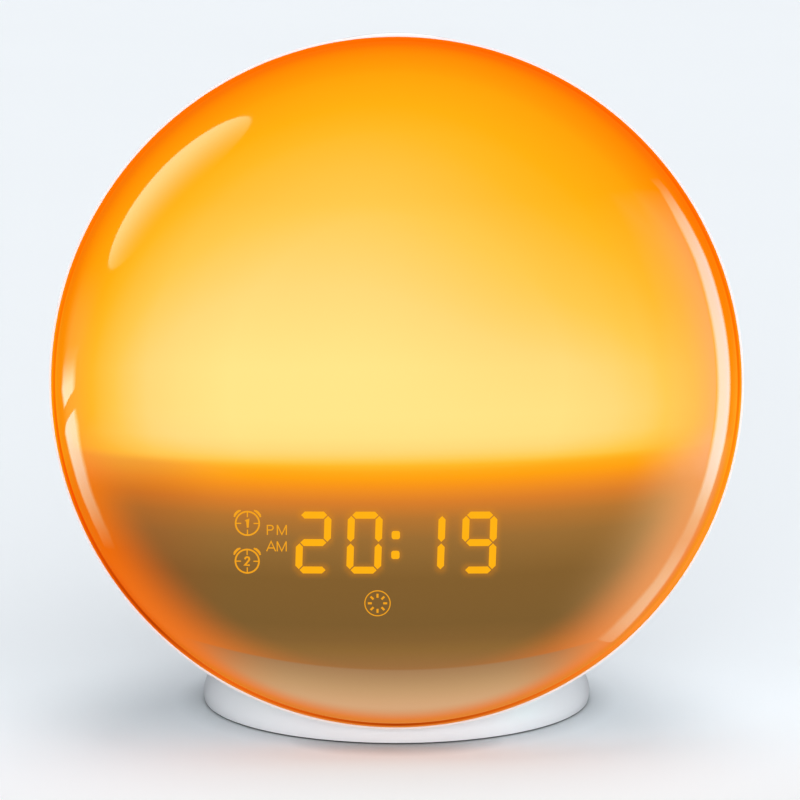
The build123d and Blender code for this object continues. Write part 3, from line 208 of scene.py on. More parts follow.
# ---------------------------------------------------------------- foot
# Flared ABS foot, polished like the housing, with a plain satin cover below, four rubber feet and a
# coin-slotted cap over the back-up cell.

foot_abs = finish_of(
    "polished foot ABS", "F5F6F8", "F0F1F4", patch_mm=50, roughness=0.42, bump_mm=0.004, grain_mm=4.0,
    **{"Coat Weight": 0.15, "Coat Roughness": 0.3},
)
satin_abs = finish_of("satin white ABS", "E6E8EA", "DFE1E4", patch_mm=20, roughness=0.5, bump_mm=0.012,
                      grain_mm=0.5)
nickel_steel = finish_of("nickel-plated steel", "C9C7C0", "BAB8B1", patch_mm=4, roughness=0.25,
                         Metallic=1.0)
spring_brass = finish_of("spring brass", "C8A45A", "B9954C", patch_mm=2, roughness=0.3, Metallic=1.0)
dress(foot_abs, "base_shell")
dress(satin_abs, "base_plate", "battery_cap")
dress(grey_rubber, "rubber_feet")
dress(nickel_steel, "coin_cell")
dress(spring_brass, "battery_contacts")

# ---------------------------------------------------------------- front dome
# Opal acrylic moulding, 2.2 mm thick, glossy outside. The lamps behind it light its upper part like a
# low sun, and the smoked mask darkens the lower part round the display.

LEAN = math.radians(10)
HEAD_Y, HEAD_Z = -23.909, 88.509  # centre of the parting plane, in mm
DOME_RADIUS, DOME_HEIGHT, DOME_WALL, FLANGE = 83.2, 19.95, 2.2, 3.0
DISPLAY_RINGS = (24.0, 58.0)  # radii between which the face carries the display
DISPLAY_SECTOR = (212.0, 310.0)  # and the turns, in degrees
SECTOR_STEPS, REST_STEPS, RING_STEPS = 230, 150, 62  # the mesh is fine there, for the digits' halo


def head_point(u, back, v):
    """A point of the head, given across, behind the parting plane and up the face, in metres."""
    return Vector((
        u * MM,
        (HEAD_Y + back * math.cos(LEAN) + v * math.sin(LEAN)) * MM,
        (HEAD_Z - back * math.sin(LEAN) + v * math.cos(LEAN)) * MM,
    ))


def dome_back(u, v, proud=0.0):
    """How far behind the parting plane the dome's face lies at a place, less what stands proud of it."""
    share = min(1.0, (u * u + v * v) / DOME_RADIUS**2)
    return -FLANGE - DOME_HEIGHT * math.sqrt(1 - share) - proud


def mesh_object(name, points, faces, smooth=True):
    """A mesh in the frame's own place."""
    mesh = bpy.data.meshes.new(name)
    mesh.from_pydata(points, [], faces)
    mesh.update()
    if smooth:
        mesh.shade_smooth()
    piece = bpy.data.objects.new(name, mesh)
    bpy.context.scene.collection.objects.link(piece)
    return piece


def arc(count, start, end):
    return [start + (end - start) * i / count for i in range(count + 1)]


sector_start, sector_end = DISPLAY_SECTOR
in_degrees = (arc(SECTOR_STEPS, sector_start, sector_end)[:-1]
              + arc(REST_STEPS, sector_end, sector_start + 360)[:-1])
turns = [math.radians(t) for t in in_degrees]
display_rings = [math.asin(r / DOME_RADIUS) for r in arc(RING_STEPS, *DISPLAY_RINGS)]
lean_back = (arc(14, 0.012, display_rings[0])[:-1] + display_rings
             + arc(50, display_rings[-1], math.pi / 2)[1:])
outer = [(DOME_RADIUS * math.sin(a), -FLANGE - DOME_HEIGHT * math.cos(a)) for a in lean_back]
# radius and depth round the flange, down the snap lip and back up inside
rim = [(83.25, -FLANGE), (83.9, -FLANGE), (84.0, -2.9), (84.44, -0.3), (84.5, 0.0), (82.3, 0.0),
       (82.3, 1.1), (82.8, 1.8), (82.3, 2.5), (82.3, 3.6), (80.3, 3.6), (80.3, 0.0)]
inner = [
    ((DOME_RADIUS - DOME_WALL) * math.sin(a), -FLANGE - (DOME_HEIGHT - DOME_WALL) * math.cos(a))
    for a in arc(36, math.pi / 2, 0.02)
]
profile = outer + rim + inner
points, faces = [], []
around = len(turns)
for radius, back in profile:
    points += [head_point(radius * math.cos(turn), back, radius * math.sin(turn)) for turn in turns]
for row in range(len(profile) - 1):
    for k in range(around):
        n = (k + 1) % around
        a, b = row * around, (row + 1) * around
        faces.append((a + k, b + k, b + n, a + n))
points.append(head_point(0, dome_back(0, 0), 0))
points.append(head_point(0, -FLANGE - DOME_HEIGHT + DOME_WALL, 0))
last = (len(profile) - 1) * around
for k in range(around):
    n = (k + 1) % around
    faces.append((len(points) - 2, k, n))
    faces.append((len(points) - 1, last + n, last + k))
dome = mesh_object("dome", points, faces)
dome.data.set_sharp_from_angle(angle=math.radians(28))

opal = bpy.data.materials.new("lit opal acrylic")
opal.use_nodes = True
tree = opal.node_tree
tree.nodes.clear()


def sums(operation, first, second=0.0, third=0.0, clamp=False):
    """One step of arithmetic on sockets or numbers in the dome's material."""
    node = tree.nodes.new("ShaderNodeMath")
    node.operation = operation
    node.use_clamp = clamp
    for i, source in enumerate((first, second, third)):
        if isinstance(source, bpy.types.NodeSocket):
            tree.links.new(source, node.inputs[i])
        else:
            node.inputs[i].default_value = source
    return node.outputs[0]


def soft_step(value, low, high):
    """0 below low, 1 above high, and a smooth rise between."""
    node = add_node(tree, "ShaderNodeMapRange", {"Value": value, "From Min": low, "From Max": high},
                    interpolation_type="SMOOTHSTEP")
    return node.outputs["Result"]


def ramp_of(value, low, high, stops):
    """Colours along a value between low and high, given as (value, hex)."""
    share = add_node(tree, "ShaderNodeMapRange", {"Value": value, "From Min": low, "From Max": high})
    node = add_node(tree, "ShaderNodeValToRGB", {"Fac": share.outputs["Result"]})
    elements = node.color_ramp.elements
    while len(elements) < len(stops):
        elements.new(0.5)
    for element, (position, colour) in zip(elements, stops):
        element.position = (position - low) / (high - low)
        element.color = linear(colour)
    return node.outputs["Color"]


def over(factor, under, upper):
    """One colour laid over another by a factor."""
    node = add_node(tree, "ShaderNodeMix", data_type="RGBA")
    for socket, source in ((node.inputs[0], factor), (node.inputs[6], under), (node.inputs[7], upper)):
        if isinstance(source, bpy.types.NodeSocket):
            tree.links.new(source, socket)
        else:
            socket.default_value = source
    return node.outputs[2]


place = add_node(tree, "ShaderNodeTexCoord")
in_head = add_node(
    tree, "ShaderNodeMapping",
    {"Vector": place.outputs["Object"], "Location": (0, HEAD_Y * MM, HEAD_Z * MM),
     "Rotation": (-LEAN, 0, 0), "Scale": (MM, MM, MM)},
    vector_type="TEXTURE",
)
axes = add_node(tree, "ShaderNodeSeparateXYZ", {"Vector": in_head.outputs["Vector"]})
across, up = axes.outputs["X"], axes.outputs["Z"]
square = sums("MULTIPLY", across, across)
reach = sums("SQRT", sums("MULTIPLY_ADD", up, up, square))

# the glow: full over the middle, falling to the rim, to the top and a little to the right
fall = ramp_of(reach, 0, 84.5, [
    (0, "FFFFFF"), (40, "FFFFFF"), (52, "F3F3F3"), (60, "E6E6E6"), (67, "CFCFCF"), (72, "B8B8B8"),
    (76, "9C9C9C"), (79.5, "828282"), (81.5, "666666"), (83.5, "3C3C3C"),
])
high = ramp_of(up, -30, 84, [
    (-18, "FFFFFF"), (4, "FFFFFF"), (24, "E6E6E6"), (44, "CDCDCD"), (64, "C2C2C2"), (80, "BEBEBE"),
])
right_side = sums("MULTIPLY", soft_step(across, -14, 44),
                  sums("MULTIPLY", soft_step(up, 92, 44), soft_step(up, -25, 22)))
glow = sums("MULTIPLY", sums("MULTIPLY", fall, high), sums("MULTIPLY_ADD", right_side, -0.25, 1.0))

# it dims just above the horizon, which sags in the middle
HORIZON_UP, HORIZON_CURVE, HORIZON_TILT = -17.9, 0.00081, 0.0127
horizon = sums("ADD", sums("MULTIPLY_ADD", square, HORIZON_CURVE, HORIZON_UP),
               sums("MULTIPLY", across, HORIZON_TILT))
below = sums("SUBTRACT", horizon, up)
dim_edge = sums("SUBTRACT", below, sums("MULTIPLY", square, 0.0004))
dip = ramp_of(dim_edge, -10, 3.5, [(-10, "FFFFFF"), (-5.1, "F8F8F8"), (-2.7, "EBEBEB"), (-1.2, "E0E0E0"),
                                (0.2, "D0D0D0"), (1.7, "AFAFAF"), (3.2, "969696")])
glow = sums("MULTIPLY", glow, dip)
sunrise = ramp_of(glow, 0, 1, [
    (0.0, "EA6602"), (0.04, "F67202"), (0.1, "FC8802"), (0.2, "FE9F08"), (0.33, "FEAC10"),
    (0.42, "FFB524"), (0.6, "FEC54C"), (0.8, "FED476"), (1.0, "FFE086"),
])

# the mask darkens what lies below the horizon, and its left end is a little redder
masked = ramp_of(below, 0, 60, [
    (0, "FFC34E"), (1.7, "FFB42C"), (3.2, "FEA618"), (4.7, "F99D10"), (6.6, "F29018"), (8.6, "E48522"),
    (10.5, "D47B28"), (14.4, "B1722F"), (19.3, "976A32"), (24, "8B6430"), (29, "7F5C2C"), (40, "7A5A2D"),
    (43.8, "815E30"), (46.3, "8A6533"), (51, "996D3F"),
])
masked = over(sums("MULTIPLY", soft_step(across, -38, -62), 0.2), masked, linear("961E00"))
edge_light = ramp_of(up, -80, -10, [(-80, "E88038"), (-60, "F07620"), (-40, "F26C00"), (-22, "F87E08"),
                                    (-12, "FC9810")])
masked = over(soft_step(reach, 67.5, 83.5), masked, edge_light)
lit = over(soft_step(below, 0.6, 3.4), sunrise, masked)

# a painted reflection of the pale table: below the mask's curved lower edge the face is laid paler
MASK_EDGE_UP, MASK_EDGE_CURVE = -69.0, 0.00284
mask_edge = sums("MULTIPLY_ADD", square, MASK_EDGE_CURVE, MASK_EDGE_UP)
under_mask = sums("SUBTRACT", mask_edge, up)
# colours of the painted table reflection, paler further below the mask's edge
pale = ramp_of(under_mask, 0, 14, [(0, "A17A52"), (2.6, "AF895E"), (5.2, "BF976A"), (7.8, "CDA175"),
                                   (9.4, "D3A57A")])
painted_table_reflection = sums("MULTIPLY",
                 sums("MULTIPLY", soft_step(under_mask, -0.25, 0.35), soft_step(reach, 82.6, 78.5)),
                 soft_step(square, 2900, 500))
lit = over(painted_table_reflection, lit, pale)

# light thrown back by the table pales the lower right
table_light = sums("MULTIPLY", sums("MULTIPLY", soft_step(across, 34, 66), soft_step(reach, 58, 78)),
                   sums("MULTIPLY", soft_step(below, -4, 9), soft_step(reach, 83.5, 80)))
TABLE_LIGHT = 0.42
lit = over(sums("MULTIPLY", table_light, TABLE_LIGHT), lit, linear("F4BE80"))

# the thicker rim carries the light round as a saturated band
turn_here = sums("MULTIPLY", sums("ARCTAN2", up, across), 180 / math.pi)
rim_light = ramp_of(turn_here, -180, 180, [
    (-180, "FE9B04"), (-170, "FC9A06"), (-160, "F27C02"), (-145, "EC6402"), (-135, "E86402"),
    (-120, "E8801E"), (-105, "E28230"), (-90, "E28430"), (-75, "E28430"), (-60, "E6862A"),
    (-45, "F28C24"), (-30, "F89418"), (-15, "FC9C10"),
    (-4, "FFA51C"), (12, "FF8A06"), (30, "FF7802"), (50, "FF7402"), (80, "FF6E02"), (110, "FF7402"),
    (135, "FC7802"), (160, "FE8202"), (170, "FE9204"), (180, "FE9B04"),
])
lit = over(soft_step(reach, 81.0, 83.2), lit, rim_light)
# a painted shade line along the step between the face and the flange, darkest at the bottom
seam_shade_colour = ramp_of(turn_here, -180, 180, [
    (-180, "F67802"), (-160, "F05002"), (-145, "C44202"), (-135, "B43C02"), (-120, "EA6414"),
    (-105, "D25408"), (-90, "AC3C02"), (-75, "D0560A"), (-60, "EA7018"), (-45, "F68C30"),
    (-30, "F69230"), (-15, "FA8810"),
    (0, "FA7402"), (30, "FA6402"), (60, "FC6402"), (110, "FA6E02"), (160, "FA7402"), (180, "F67802"),
])
seam_shade = sums("MULTIPLY", soft_step(reach, 82.9, 83.3), soft_step(reach, 84.0, 83.6))
lit = over(seam_shade, lit, seam_shade_colour)

# a faint painted sheen: white laid over the left end, near the horizon
painted_sheen = sums("MAXIMUM", soft_step(reach, 72, 78), soft_step(up, -4, -14))
painted_sheen = sums("MULTIPLY", sums("MULTIPLY", painted_sheen, soft_step(reach, 81.5, 79.5)),
            sums("MULTIPLY", soft_step(across, -30, -60),
                 sums("MULTIPLY", soft_step(up, -26, -18), soft_step(up, 30, 10))))
# how much white the painted sheen lays over the glow
PAINTED_SHEEN = 0.026
lit = over(sums("MULTIPLY", painted_sheen, PAINTED_SHEEN), lit, linear("FFFFFF"))

# a little of the digits' light spreads into the dome round them
halo = add_node(tree, "ShaderNodeAttribute", attribute_name="digit_glow")
lit = over(halo.outputs["Fac"], lit, linear("E08A10"))

BODY_SHARE, GLOW_STRENGTH, FACE_GLOSS = 0.2, 0.82, 0.5
body = add_node(tree, "ShaderNodeVectorMath", {0: lit, "Scale": BODY_SHARE}, operation="SCALE")
gloss = sums("MULTIPLY", soft_step(reach, 83.1, 82.3), FACE_GLOSS)
shader = add_node(
    tree, "ShaderNodeBsdfPrincipled",
    {"Base Color": body.outputs["Vector"], "Roughness": 0.05, "IOR": 1.49, "Specular IOR Level": gloss,
     "Emission Color": lit, "Emission Strength": GLOW_STRENGTH},
)
add_node(tree, "ShaderNodeOutputMaterial", {"Surface": shader.outputs["BSDF"]})
dome.data.materials.append(opal)
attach(dome, "clock")
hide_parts("front_diffuser")

# ---------------------------------------------------------------- lit digits and symbols
# The display's light comes through the dome crisp, so each bar and symbol is a thin skin on its face.
# Seven-segment bars with pointed ends, a colon, two small alarm clocks, the half-day marks and a lamp.

DIGIT_UP, DIGIT_HALF_HEIGHT, DIGIT_HALF_WIDTH, STROKE = -37.97, 7.46, 4.16, 1.68
DIGIT_SLANT = 0.033
DIGIT_GAP = 0.2
SKIN, SUNK = 0.04, 0.05  # how far the skins stand proud of the dome, and how far they reach into it
digit_cells = (("2", -19.83), ("0", -7.6), ("1", 7.42), ("9", 19.8))
lit_bars = {"0": "abcdef", "1": "bc", "2": "abged", "9": "abcdfg"}
skin_outlines = {"digits": [], "symbols": []}


def slanted(u, v):
    return u + DIGIT_SLANT * (v - DIGIT_UP), v


def hexagon(cu, cv, half, upright):
    """A bar with pointed ends about a middle, along or across."""
    tip, side = half - DIGIT_GAP, STROKE / 2
    flat = [(-tip, 0), (side - tip, side), (tip - side, side),
            (tip, 0), (tip - side, -side), (side - tip, -side)]
    return [slanted(cu + (y if upright else x), cv + (x if upright else y)) for x, y in flat]


bar_lines = []
for character, cell in digit_cells:
    arm = DIGIT_HALF_WIDTH - STROKE / 2
    rise = DIGIT_HALF_HEIGHT - STROKE / 2
    bars = {
        "a": (cell, rise, arm, False), "g": (cell, 0, arm, False), "d": (cell, -rise, arm, False),
        "f": (cell - arm, rise / 2, rise / 2, True), "b": (cell + arm, rise / 2, rise / 2, True),
        "e": (cell - arm, -rise / 2, rise / 2, True), "c": (cell + arm, -rise / 2, rise / 2, True),
    }
    for letter in lit_bars[character]:
        u, v, half, upright = bars[letter]
        skin_outlines["digits"].append(hexagon(u, DIGIT_UP + v, half, upright))
        reach_along = half - STROKE / 2
        along, rising = (0, reach_along) if upright else (reach_along, 0)
        bar_lines.append((
            slanted(u - along, DIGIT_UP + v - rising), slanted(u + along, DIGIT_UP + v + rising),
        ))

COLON = ((-0.12, -36.13), (-0.22, -40.9))
DOT_HALF, DOT_CORNER = 1.0, 0.55
for u, v in COLON:
    dot = []
    for quarter in range(4):
        for step in range(4):
            a = math.pi / 2 * quarter + math.pi / 6 * step
            cu = (DOT_HALF - DOT_CORNER) * (1 if quarter in (0, 3) else -1)
            cv = (DOT_HALF - DOT_CORNER) * (1 if quarter in (0, 1) else -1)
            dot.append((u + cu + DOT_CORNER * math.cos(a), v + cv + DOT_CORNER * math.sin(a)))
    skin_outlines["digits"].append(dot)


# light that leaks sideways in the opal, as a value on the dome's points
HALO_REACH, HALO_STRENGTH = 0.8, 0.24
HALO_FAR, HALO_NONE = 4, 9.0  # bars farther off than the first are skipped; the second is out of reach
bar_lines += [(dot, dot) for dot in COLON]
leak = dome.data.attributes.new("digit_glow", "FLOAT", "POINT")
levels = [0.0] * len(dome.data.vertices)
first_row, rows = lean_back.index(display_rings[0]), len(display_rings)
for row in range(first_row, first_row + rows):
    for k in range(SECTOR_STEPS + 1):
        u, v = outer[row][0] * math.cos(turns[k]), outer[row][0] * math.sin(turns[k])
        nearest = HALO_NONE
        for (au, av), (bu, bv) in bar_lines:
            if (min(au, bu) - HALO_FAR < u < max(au, bu) + HALO_FAR
                    and min(av, bv) - HALO_FAR < v < max(av, bv) + HALO_FAR):
                du, dv = bu - au, bv - av
                length = du * du + dv * dv
                share = max(0.0, min(1.0, ((u - au) * du + (v - av) * dv) / length)) if length else 0.0
                nearest = min(nearest, math.hypot(u - au - share * du, v - av - share * dv))
        away = max(0.0, nearest - STROKE / 2)
        levels[row * around + k] = HALO_STRENGTH * math.exp(-((away / HALO_REACH) ** 2))
leak.data.foreach_set("value", levels)


def stroke(path, width, closed=False):
    """Short four-sided pieces along a path, with mitred joints."""
    count = len(path)
    sides = []
    for i, (u, v) in enumerate(path):
        before = path[i - 1] if i or closed else path[i]
        after = path[(i + 1) % count] if i < count - 1 or closed else path[i]
        du, dv = after[0] - before[0], after[1] - before[1]
        length = math.hypot(du, dv) or 1.0
        nu, nv = -dv / length, du / length
        spread = width / 2
        if (i or closed) and (i < count - 1 or closed):
            first = math.hypot(u - before[0], v - before[1])
            bend = abs(((u - before[0]) * nu + (v - before[1]) * nv) / first)
            spread = width / 2 / max(0.5, math.sqrt(1 - bend * bend))
        sides.append(((u + nu * spread, v + nv * spread), (u - nu * spread, v - nv * spread)))
    runs = count if closed else count - 1
    for i in range(runs):
        a, b = sides[i], sides[(i + 1) % count]
        skin_outlines["symbols"].append([a[0], b[0], b[1], a[1]])


def spoke(u, v, turn, away):
    """A place at a turn and a distance from a middle."""
    return u + away * math.cos(turn), v + away * math.sin(turn)


def circle(u, v, radius, count=40, start=0.0, end=360.0):
    steps = count + (end - start < 360)
    return [spoke(u, v, math.radians(start + (end - start) * i / count), radius) for i in range(steps)]


# two alarm clocks: a dial with four ticks and a numeral, and two bells along its rim
DIAL_RADIUS, DIAL_LINE, TICK_LINE, NUMERAL_LINE, NUMERAL_SIZE = 2.84, 0.4, 0.28, 0.44, 1.1
TICK_INNER, TICK_OUTER = 1.5, 2.75
BELL_OUT, BELL_UP, BELL_RADIUS, BELL_BASE, BELL_PARTS, BELL_SLACK = 1.98, 1.93, 1.16, 3.34, 6, 0.06
for u, v, numeral in (
    (-35.63, -33.43, [(-0.42, 0.5), (0.06, 0.93), (0.06, -0.95)]),
    (-35.75, -42.57, [(-0.5, 0.42), (-0.38, 0.76), (-0.02, 0.92), (0.36, 0.8), (0.48, 0.45), (0.3, 0.08),
                      (-0.5, -0.86), (0.56, -0.86)]),
):
    stroke(circle(u, v, DIAL_RADIUS), DIAL_LINE, closed=True)
    for quarter in range(4):
        a = math.pi / 2 * quarter
        stroke([spoke(u, v, a, TICK_INNER), spoke(u, v, a, TICK_OUTER)], TICK_LINE)
    stroke([(u + NUMERAL_SIZE * x, v + NUMERAL_SIZE * y) for x, y in numeral], NUMERAL_LINE)
    for side in (-1, 1):
        # each bell is a disc, cut off along an arc round the dial and split into parts
        disc = circle(u + side * BELL_OUT, v + BELL_UP, BELL_RADIUS, 48)
        cap = [(math.atan2(y - v, x - u), math.hypot(x - u, y - v)) for x, y in disc]
        cap = [(turn, away) for turn, away in cap if away > BELL_BASE]
        low, top = min(cap)[0], max(cap)[0]
        cuts = [low + (top - low) * k / BELL_PARTS for k in range(BELL_PARTS + 1)]
        for first, last_cut in zip(cuts, cuts[1:]):
            near = [away for turn, away in cap if first - BELL_SLACK <= turn <= last_cut + BELL_SLACK]
            if near:
                skin_outlines["symbols"].append([
                    spoke(u, v, first, BELL_BASE), spoke(u, v, last_cut, BELL_BASE),
                    spoke(u, v, last_cut, max(near)), spoke(u, v, first, max(near)),
                ])

# half-day marks: capitals in plain strokes
tall, thin = 2.4, 0.28
for left, bottom, letters in ((-31.0, -36.16, "PM"), (-31.05, -40.12, "AM")):
    if letters[0] == "P":
        stroke([(left + 0.15, bottom), (left + 0.15, bottom + tall)], thin)
        bowl = circle(left + 1.0, bottom + tall - 0.68, 0.55, 10, -90, 90)
        stroke([(left + 0.15, bottom + tall - 1.23)] + bowl + [(left + 0.15, bottom + tall - 0.13)], thin)
    else:
        stroke([(left, bottom), (left + 1.08, bottom + tall), (left + 2.16, bottom)], thin)
        stroke([(left + 0.42, bottom + 0.8), (left + 1.74, bottom + 0.8)], thin)
    m = left + 2.55
    stroke([(m, bottom), (m, bottom + tall)], thin)
    stroke([(m, bottom + tall), (m + 1.08, bottom + 0.1), (m + 2.16, bottom + tall)], thin)
    stroke([(m + 2.16, bottom + tall), (m + 2.16, bottom)], thin)

# lamp mark: a thin ring with eight short rays inside it
LAMP_MARK, LAMP_RADIUS, LAMP_LINE = (-4.51, -52.63), 3.04, 0.25
RAYS, RAY_INNER, RAY_OUTER, RAY_LINE = 8, 1.36, 2.32, 0.5
stroke(circle(*LAMP_MARK, LAMP_RADIUS, 48), LAMP_LINE, closed=True)
for k in range(RAYS):
    a = 2 * math.pi / RAYS * k
    stroke([spoke(*LAMP_MARK, a, RAY_INNER), spoke(*LAMP_MARK, a, RAY_OUTER)], RAY_LINE)


def skin_piece(name, outlines, colour, strength):
    """Closed thin skins on the dome's face, one for each outline, in a lit material."""
    points, faces = [], []
    for outline in outlines:
        area = sum(a[0] * b[1] - b[0] * a[1] for a, b in zip(outline, outline[1:] + outline[:1]))
        if area > 0:
            outline = outline[::-1]
        start, count = len(points), len(outline)
        for proud in (SKIN, -SUNK):
            points += [head_point(u, dome_back(u, v, proud), v) for u, v in outline]
        faces.append(tuple(range(start, start + count)))
        faces.append(tuple(range(start + 2 * count - 1, start + count - 1, -1)))
        for i in range(count):
            j = (i + 1) % count
            faces.append((start + i, start + count + i, start + count + j, start + j))
    piece = mesh_object(name, points, faces, smooth=False)
    piece.data.materials.append(lit_skin(name, colour, strength))
    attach(piece, "clock")


def lit_skin(name, colour, strength):
    """Amber light through the opal, with the dome's own gloss over it."""
    material = bpy.data.materials.new("amber light, " + name.replace("_", " "))
    material.use_nodes = True
    own = material.node_tree
    own.nodes.clear()
    spot = add_node(own, "ShaderNodeTexCoord")
    wander = add_node(own, "ShaderNodeTexNoise", {"Vector": spot.outputs["Object"], "Scale": 1 / (3 * MM)})
    ramp = add_node(own, "ShaderNodeValToRGB", {"Fac": wander.outputs["Fac"]})
    ramp.color_ramp.elements[0].color = linear(colour[0])
    ramp.color_ramp.elements[1].color = linear(colour[1])
    surface = add_node(own, "ShaderNodeBsdfPrincipled", {
        "Base Color": linear("20160A"), "Roughness": 0.14, "Specular IOR Level": 0.22,
        "Emission Color": ramp.outputs["Color"], "Emission Strength": strength,
    })
    add_node(own, "ShaderNodeOutputMaterial", {"Surface": surface.outputs["BSDF"]})
    return material


skin_piece("lit_digits", skin_outlines["digits"], ("FFAE06", "FFB40E"), 1.0)
skin_piece("lit_symbols", skin_outlines["symbols"], ("F6A216", "FAA91C"), 0.95)

# ---------------------------------------------------------------- floor, lamps and camera
# A plain pale table under a pale sky. Soft distant lamps from above and from the front light matt
# surfaces only, and soft cards show in reflections only. Reflections see the room itself dimmer.

ROOM_IN_GLOSS, SKY_STRENGTH = 0.04, 0.34


def dimmed_in_gloss(own, level):
    """A strength that falls for rays that come off a glossy surface."""
    path = add_node(own, "ShaderNodeLightPath")
    return add_node(
        own, "ShaderNodeMapRange",
        {"Value": path.outputs["Is Glossy Ray"], "To Min": level, "To Max": level * ROOM_IN_GLOSS},
    ).outputs["Result"]


SHADE_REACH, SHADE_DEPTH = 0.008, 0.5  # reach and depth of the close shade at the foot, on the table
floor = mesh_object("table", [(-4, -4, 0), (4, -4, 0), (4, 6, 0), (-4, 6, 0)], [(0, 1, 2, 3)], smooth=False)
table_top = finish_of("pale laminate", "F4F8FB", "F3F7FA", patch_mm=400, roughness=0.9,
                      **{"Specular IOR Level": 0.0})
top_tree = table_top.node_tree
seen = dimmed_in_gloss(top_tree, 1.0)
shaded = next(n for n in top_tree.nodes if n.type == "BSDF_PRINCIPLED")
# painted shade: the table's colour is darkened close round the foot by ambient occlusion
near_foot = add_node(top_tree, "ShaderNodeAmbientOcclusion", {"Distance": SHADE_REACH}, samples=16)
shade = add_node(top_tree, "ShaderNodeMath", {0: near_foot.outputs["AO"], 1: SHADE_DEPTH},
                 operation="POWER")
shade_painted_colour = add_node(top_tree, "ShaderNodeVectorMath",
                  {0: shaded.inputs["Base Color"].links[0].from_socket, "Scale": shade.outputs[0]},
                  operation="SCALE")
top_tree.links.new(shade_painted_colour.outputs["Vector"], shaded.inputs["Base Color"])
black = add_node(top_tree, "ShaderNodeBsdfDiffuse", {"Color": (0, 0, 0, 1)})
mixed = add_node(top_tree, "ShaderNodeMixShader", {0: seen, 1: black.outputs[0], 2: shaded.outputs[0]})
surface_out = next(n for n in top_tree.nodes if n.type == "OUTPUT_MATERIAL")
top_tree.links.new(mixed.outputs[0], surface_out.inputs[0])
floor.data.materials.append(table_top)

world = bpy.data.worlds.new("pale studio")
bpy.context.scene.world = world
world.use_nodes = True
sky = world.node_tree.nodes["Background"]
sky.inputs["Color"].default_value = linear("F4F7FC")
world.node_tree.links.new(dimmed_in_gloss(world.node_tree, SKY_STRENGTH), sky.inputs["Strength"])


def distant(name, heading, energy, spread):
    """A soft distant lamp that lights matt surfaces only."""
    light = bpy.data.lights.new(name, "SUN")
    light.energy, light.angle = energy, math.radians(spread)
    lamp_object = bpy.data.objects.new(name, light)
    bpy.context.scene.collection.objects.link(lamp_object)
    lamp_object.rotation_euler = Vector(heading).to_track_quat("-Z", "Y").to_euler()
    lamp_object.visible_glossy = False


distant("top light", (-0.06, -0.10, -1), 0.9, 30)
distant("front light", (-0.3, 1, -0.8), 1.55, 80)
distant("low front light", (0.05, 1, -0.2), 1.1, 40)


def reflected_card(name, strength, low_tint, tint, columns, rows):
    """A bright card that only reflections see. Each row gives the place across, then depth, height,
    depth and height of its two ends, in mm, and its level; columns give shares of the width and levels.
    The colour goes from the low tint to the other as the level rises."""
    points, levels, faces = [], [], []
    for x, near_y, near_z, far_y, far_z, level in rows:
        for share, part in columns:
            y, z = near_y + (far_y - near_y) * share, near_z + (far_z - near_z) * share
            points.append((x * MM, y * MM, z * MM))
            levels.append(level * part)
    wide = len(columns)
    for row in range(len(rows) - 1):
        for k in range(wide - 1):
            a = row * wide + k
            faces.append((a, a + 1, a + wide + 1, a + wide))
    card = mesh_object(name, points, faces, smooth=False)
    card.data.attributes.new("level", "FLOAT", "POINT").data.foreach_set("value", levels)
    material = bpy.data.materials.new(name)
    material.use_nodes = True
    own = material.node_tree
    own.nodes.clear()
    level = add_node(own, "ShaderNodeAttribute", attribute_name="level")
    bright = add_node(own, "ShaderNodeMath", {0: level.outputs["Fac"], 1: strength}, operation="MULTIPLY")
    hue = add_node(own, "ShaderNodeValToRGB", {"Fac": level.outputs["Fac"]})
    hue.color_ramp.elements[0].color = linear(low_tint)
    hue.color_ramp.elements[1].color = linear(tint)
    light = add_node(own, "ShaderNodeEmission",
                     {"Color": hue.outputs["Color"], "Strength": bright.outputs[0]})
    add_node(own, "ShaderNodeOutputMaterial", {"Surface": light.outputs[0]})
    card.data.materials.append(material)
    card.visible_camera = card.visible_diffuse = card.visible_shadow = False


SOFT_EDGES = [(-0.12, 0), (0.14, 1), (0.86, 1), (1.12, 0)]
SOFT_INNER_SIDE = [(0, 0), (0.33, 0.12), (0.58, 0.5), (0.78, 0.9), (1, 1)]
reflected_card("right strip", 12.2, "7CFFE0", "7CE1FF", SOFT_EDGES, [
    (110, -33.2, 179.7, -14.9, 174.2, 0), (110, -31.9, 171.1, -15.8, 165.8, 0.12),
    (110, -38.1, 155.6, -18.4, 150.6, 0.55), (110, -39.5, 136.8, -20.4, 132.5, 0.83),
    (110, -42.3, 121.2, -24.4, 117.3, 0.92), (110, -43.8, 106.7, -26.9, 103.2, 0.98),
    (110, -46, 89.6, -29.2, 86.7, 1), (110, -47.9, 79.4, -30.7, 76.9, 1),
    (110, -49.5, 72.5, -31.9, 70.2, 0.97), (110, -51, 65.4, -33.9, 63.3, 0.85),
    (110, -52.2, 57.8, -35.1, 56.1, 0.68), (110, -54.4, 49.9, -36.8, 48.4, 0.42),
    (110, -56.3, 41.4, -37.2, 40, 0.22), (110, -58.9, 32, -36.2, 30.6, 0.15),
    (107, -59.4, 23.4, -35.8, 22.2, 0.24), (100, -58.4, 16.6, -35.6, 16.1, 0.3),
    (92, -59.5, 10.3, -35.5, 10, 0.3), (82, -58.6, 5.5, -33.1, 5.5, 0.25),
    (72, -57.4, 1, -32.2, 1.7, 0.12),
])
reflected_card("left strip high", 9.0, "7CFFE8", "7CFFFF", SOFT_EDGES, [
    (-110, -45.6, 106, -29.2, 101.6, 0), (-110, -44.5, 100.8, -28.7, 96.4, 0.12),
    (-110, -44.3, 98.3, -27.9, 93.6, 0.3), (-110, -44.5, 95.6, -28.2, 90.2, 0.6),
    (-110, -44.8, 92.9, -27.4, 86.5, 0.9), (-110, -44.9, 89.4, -31.7, 81.1, 1),
])
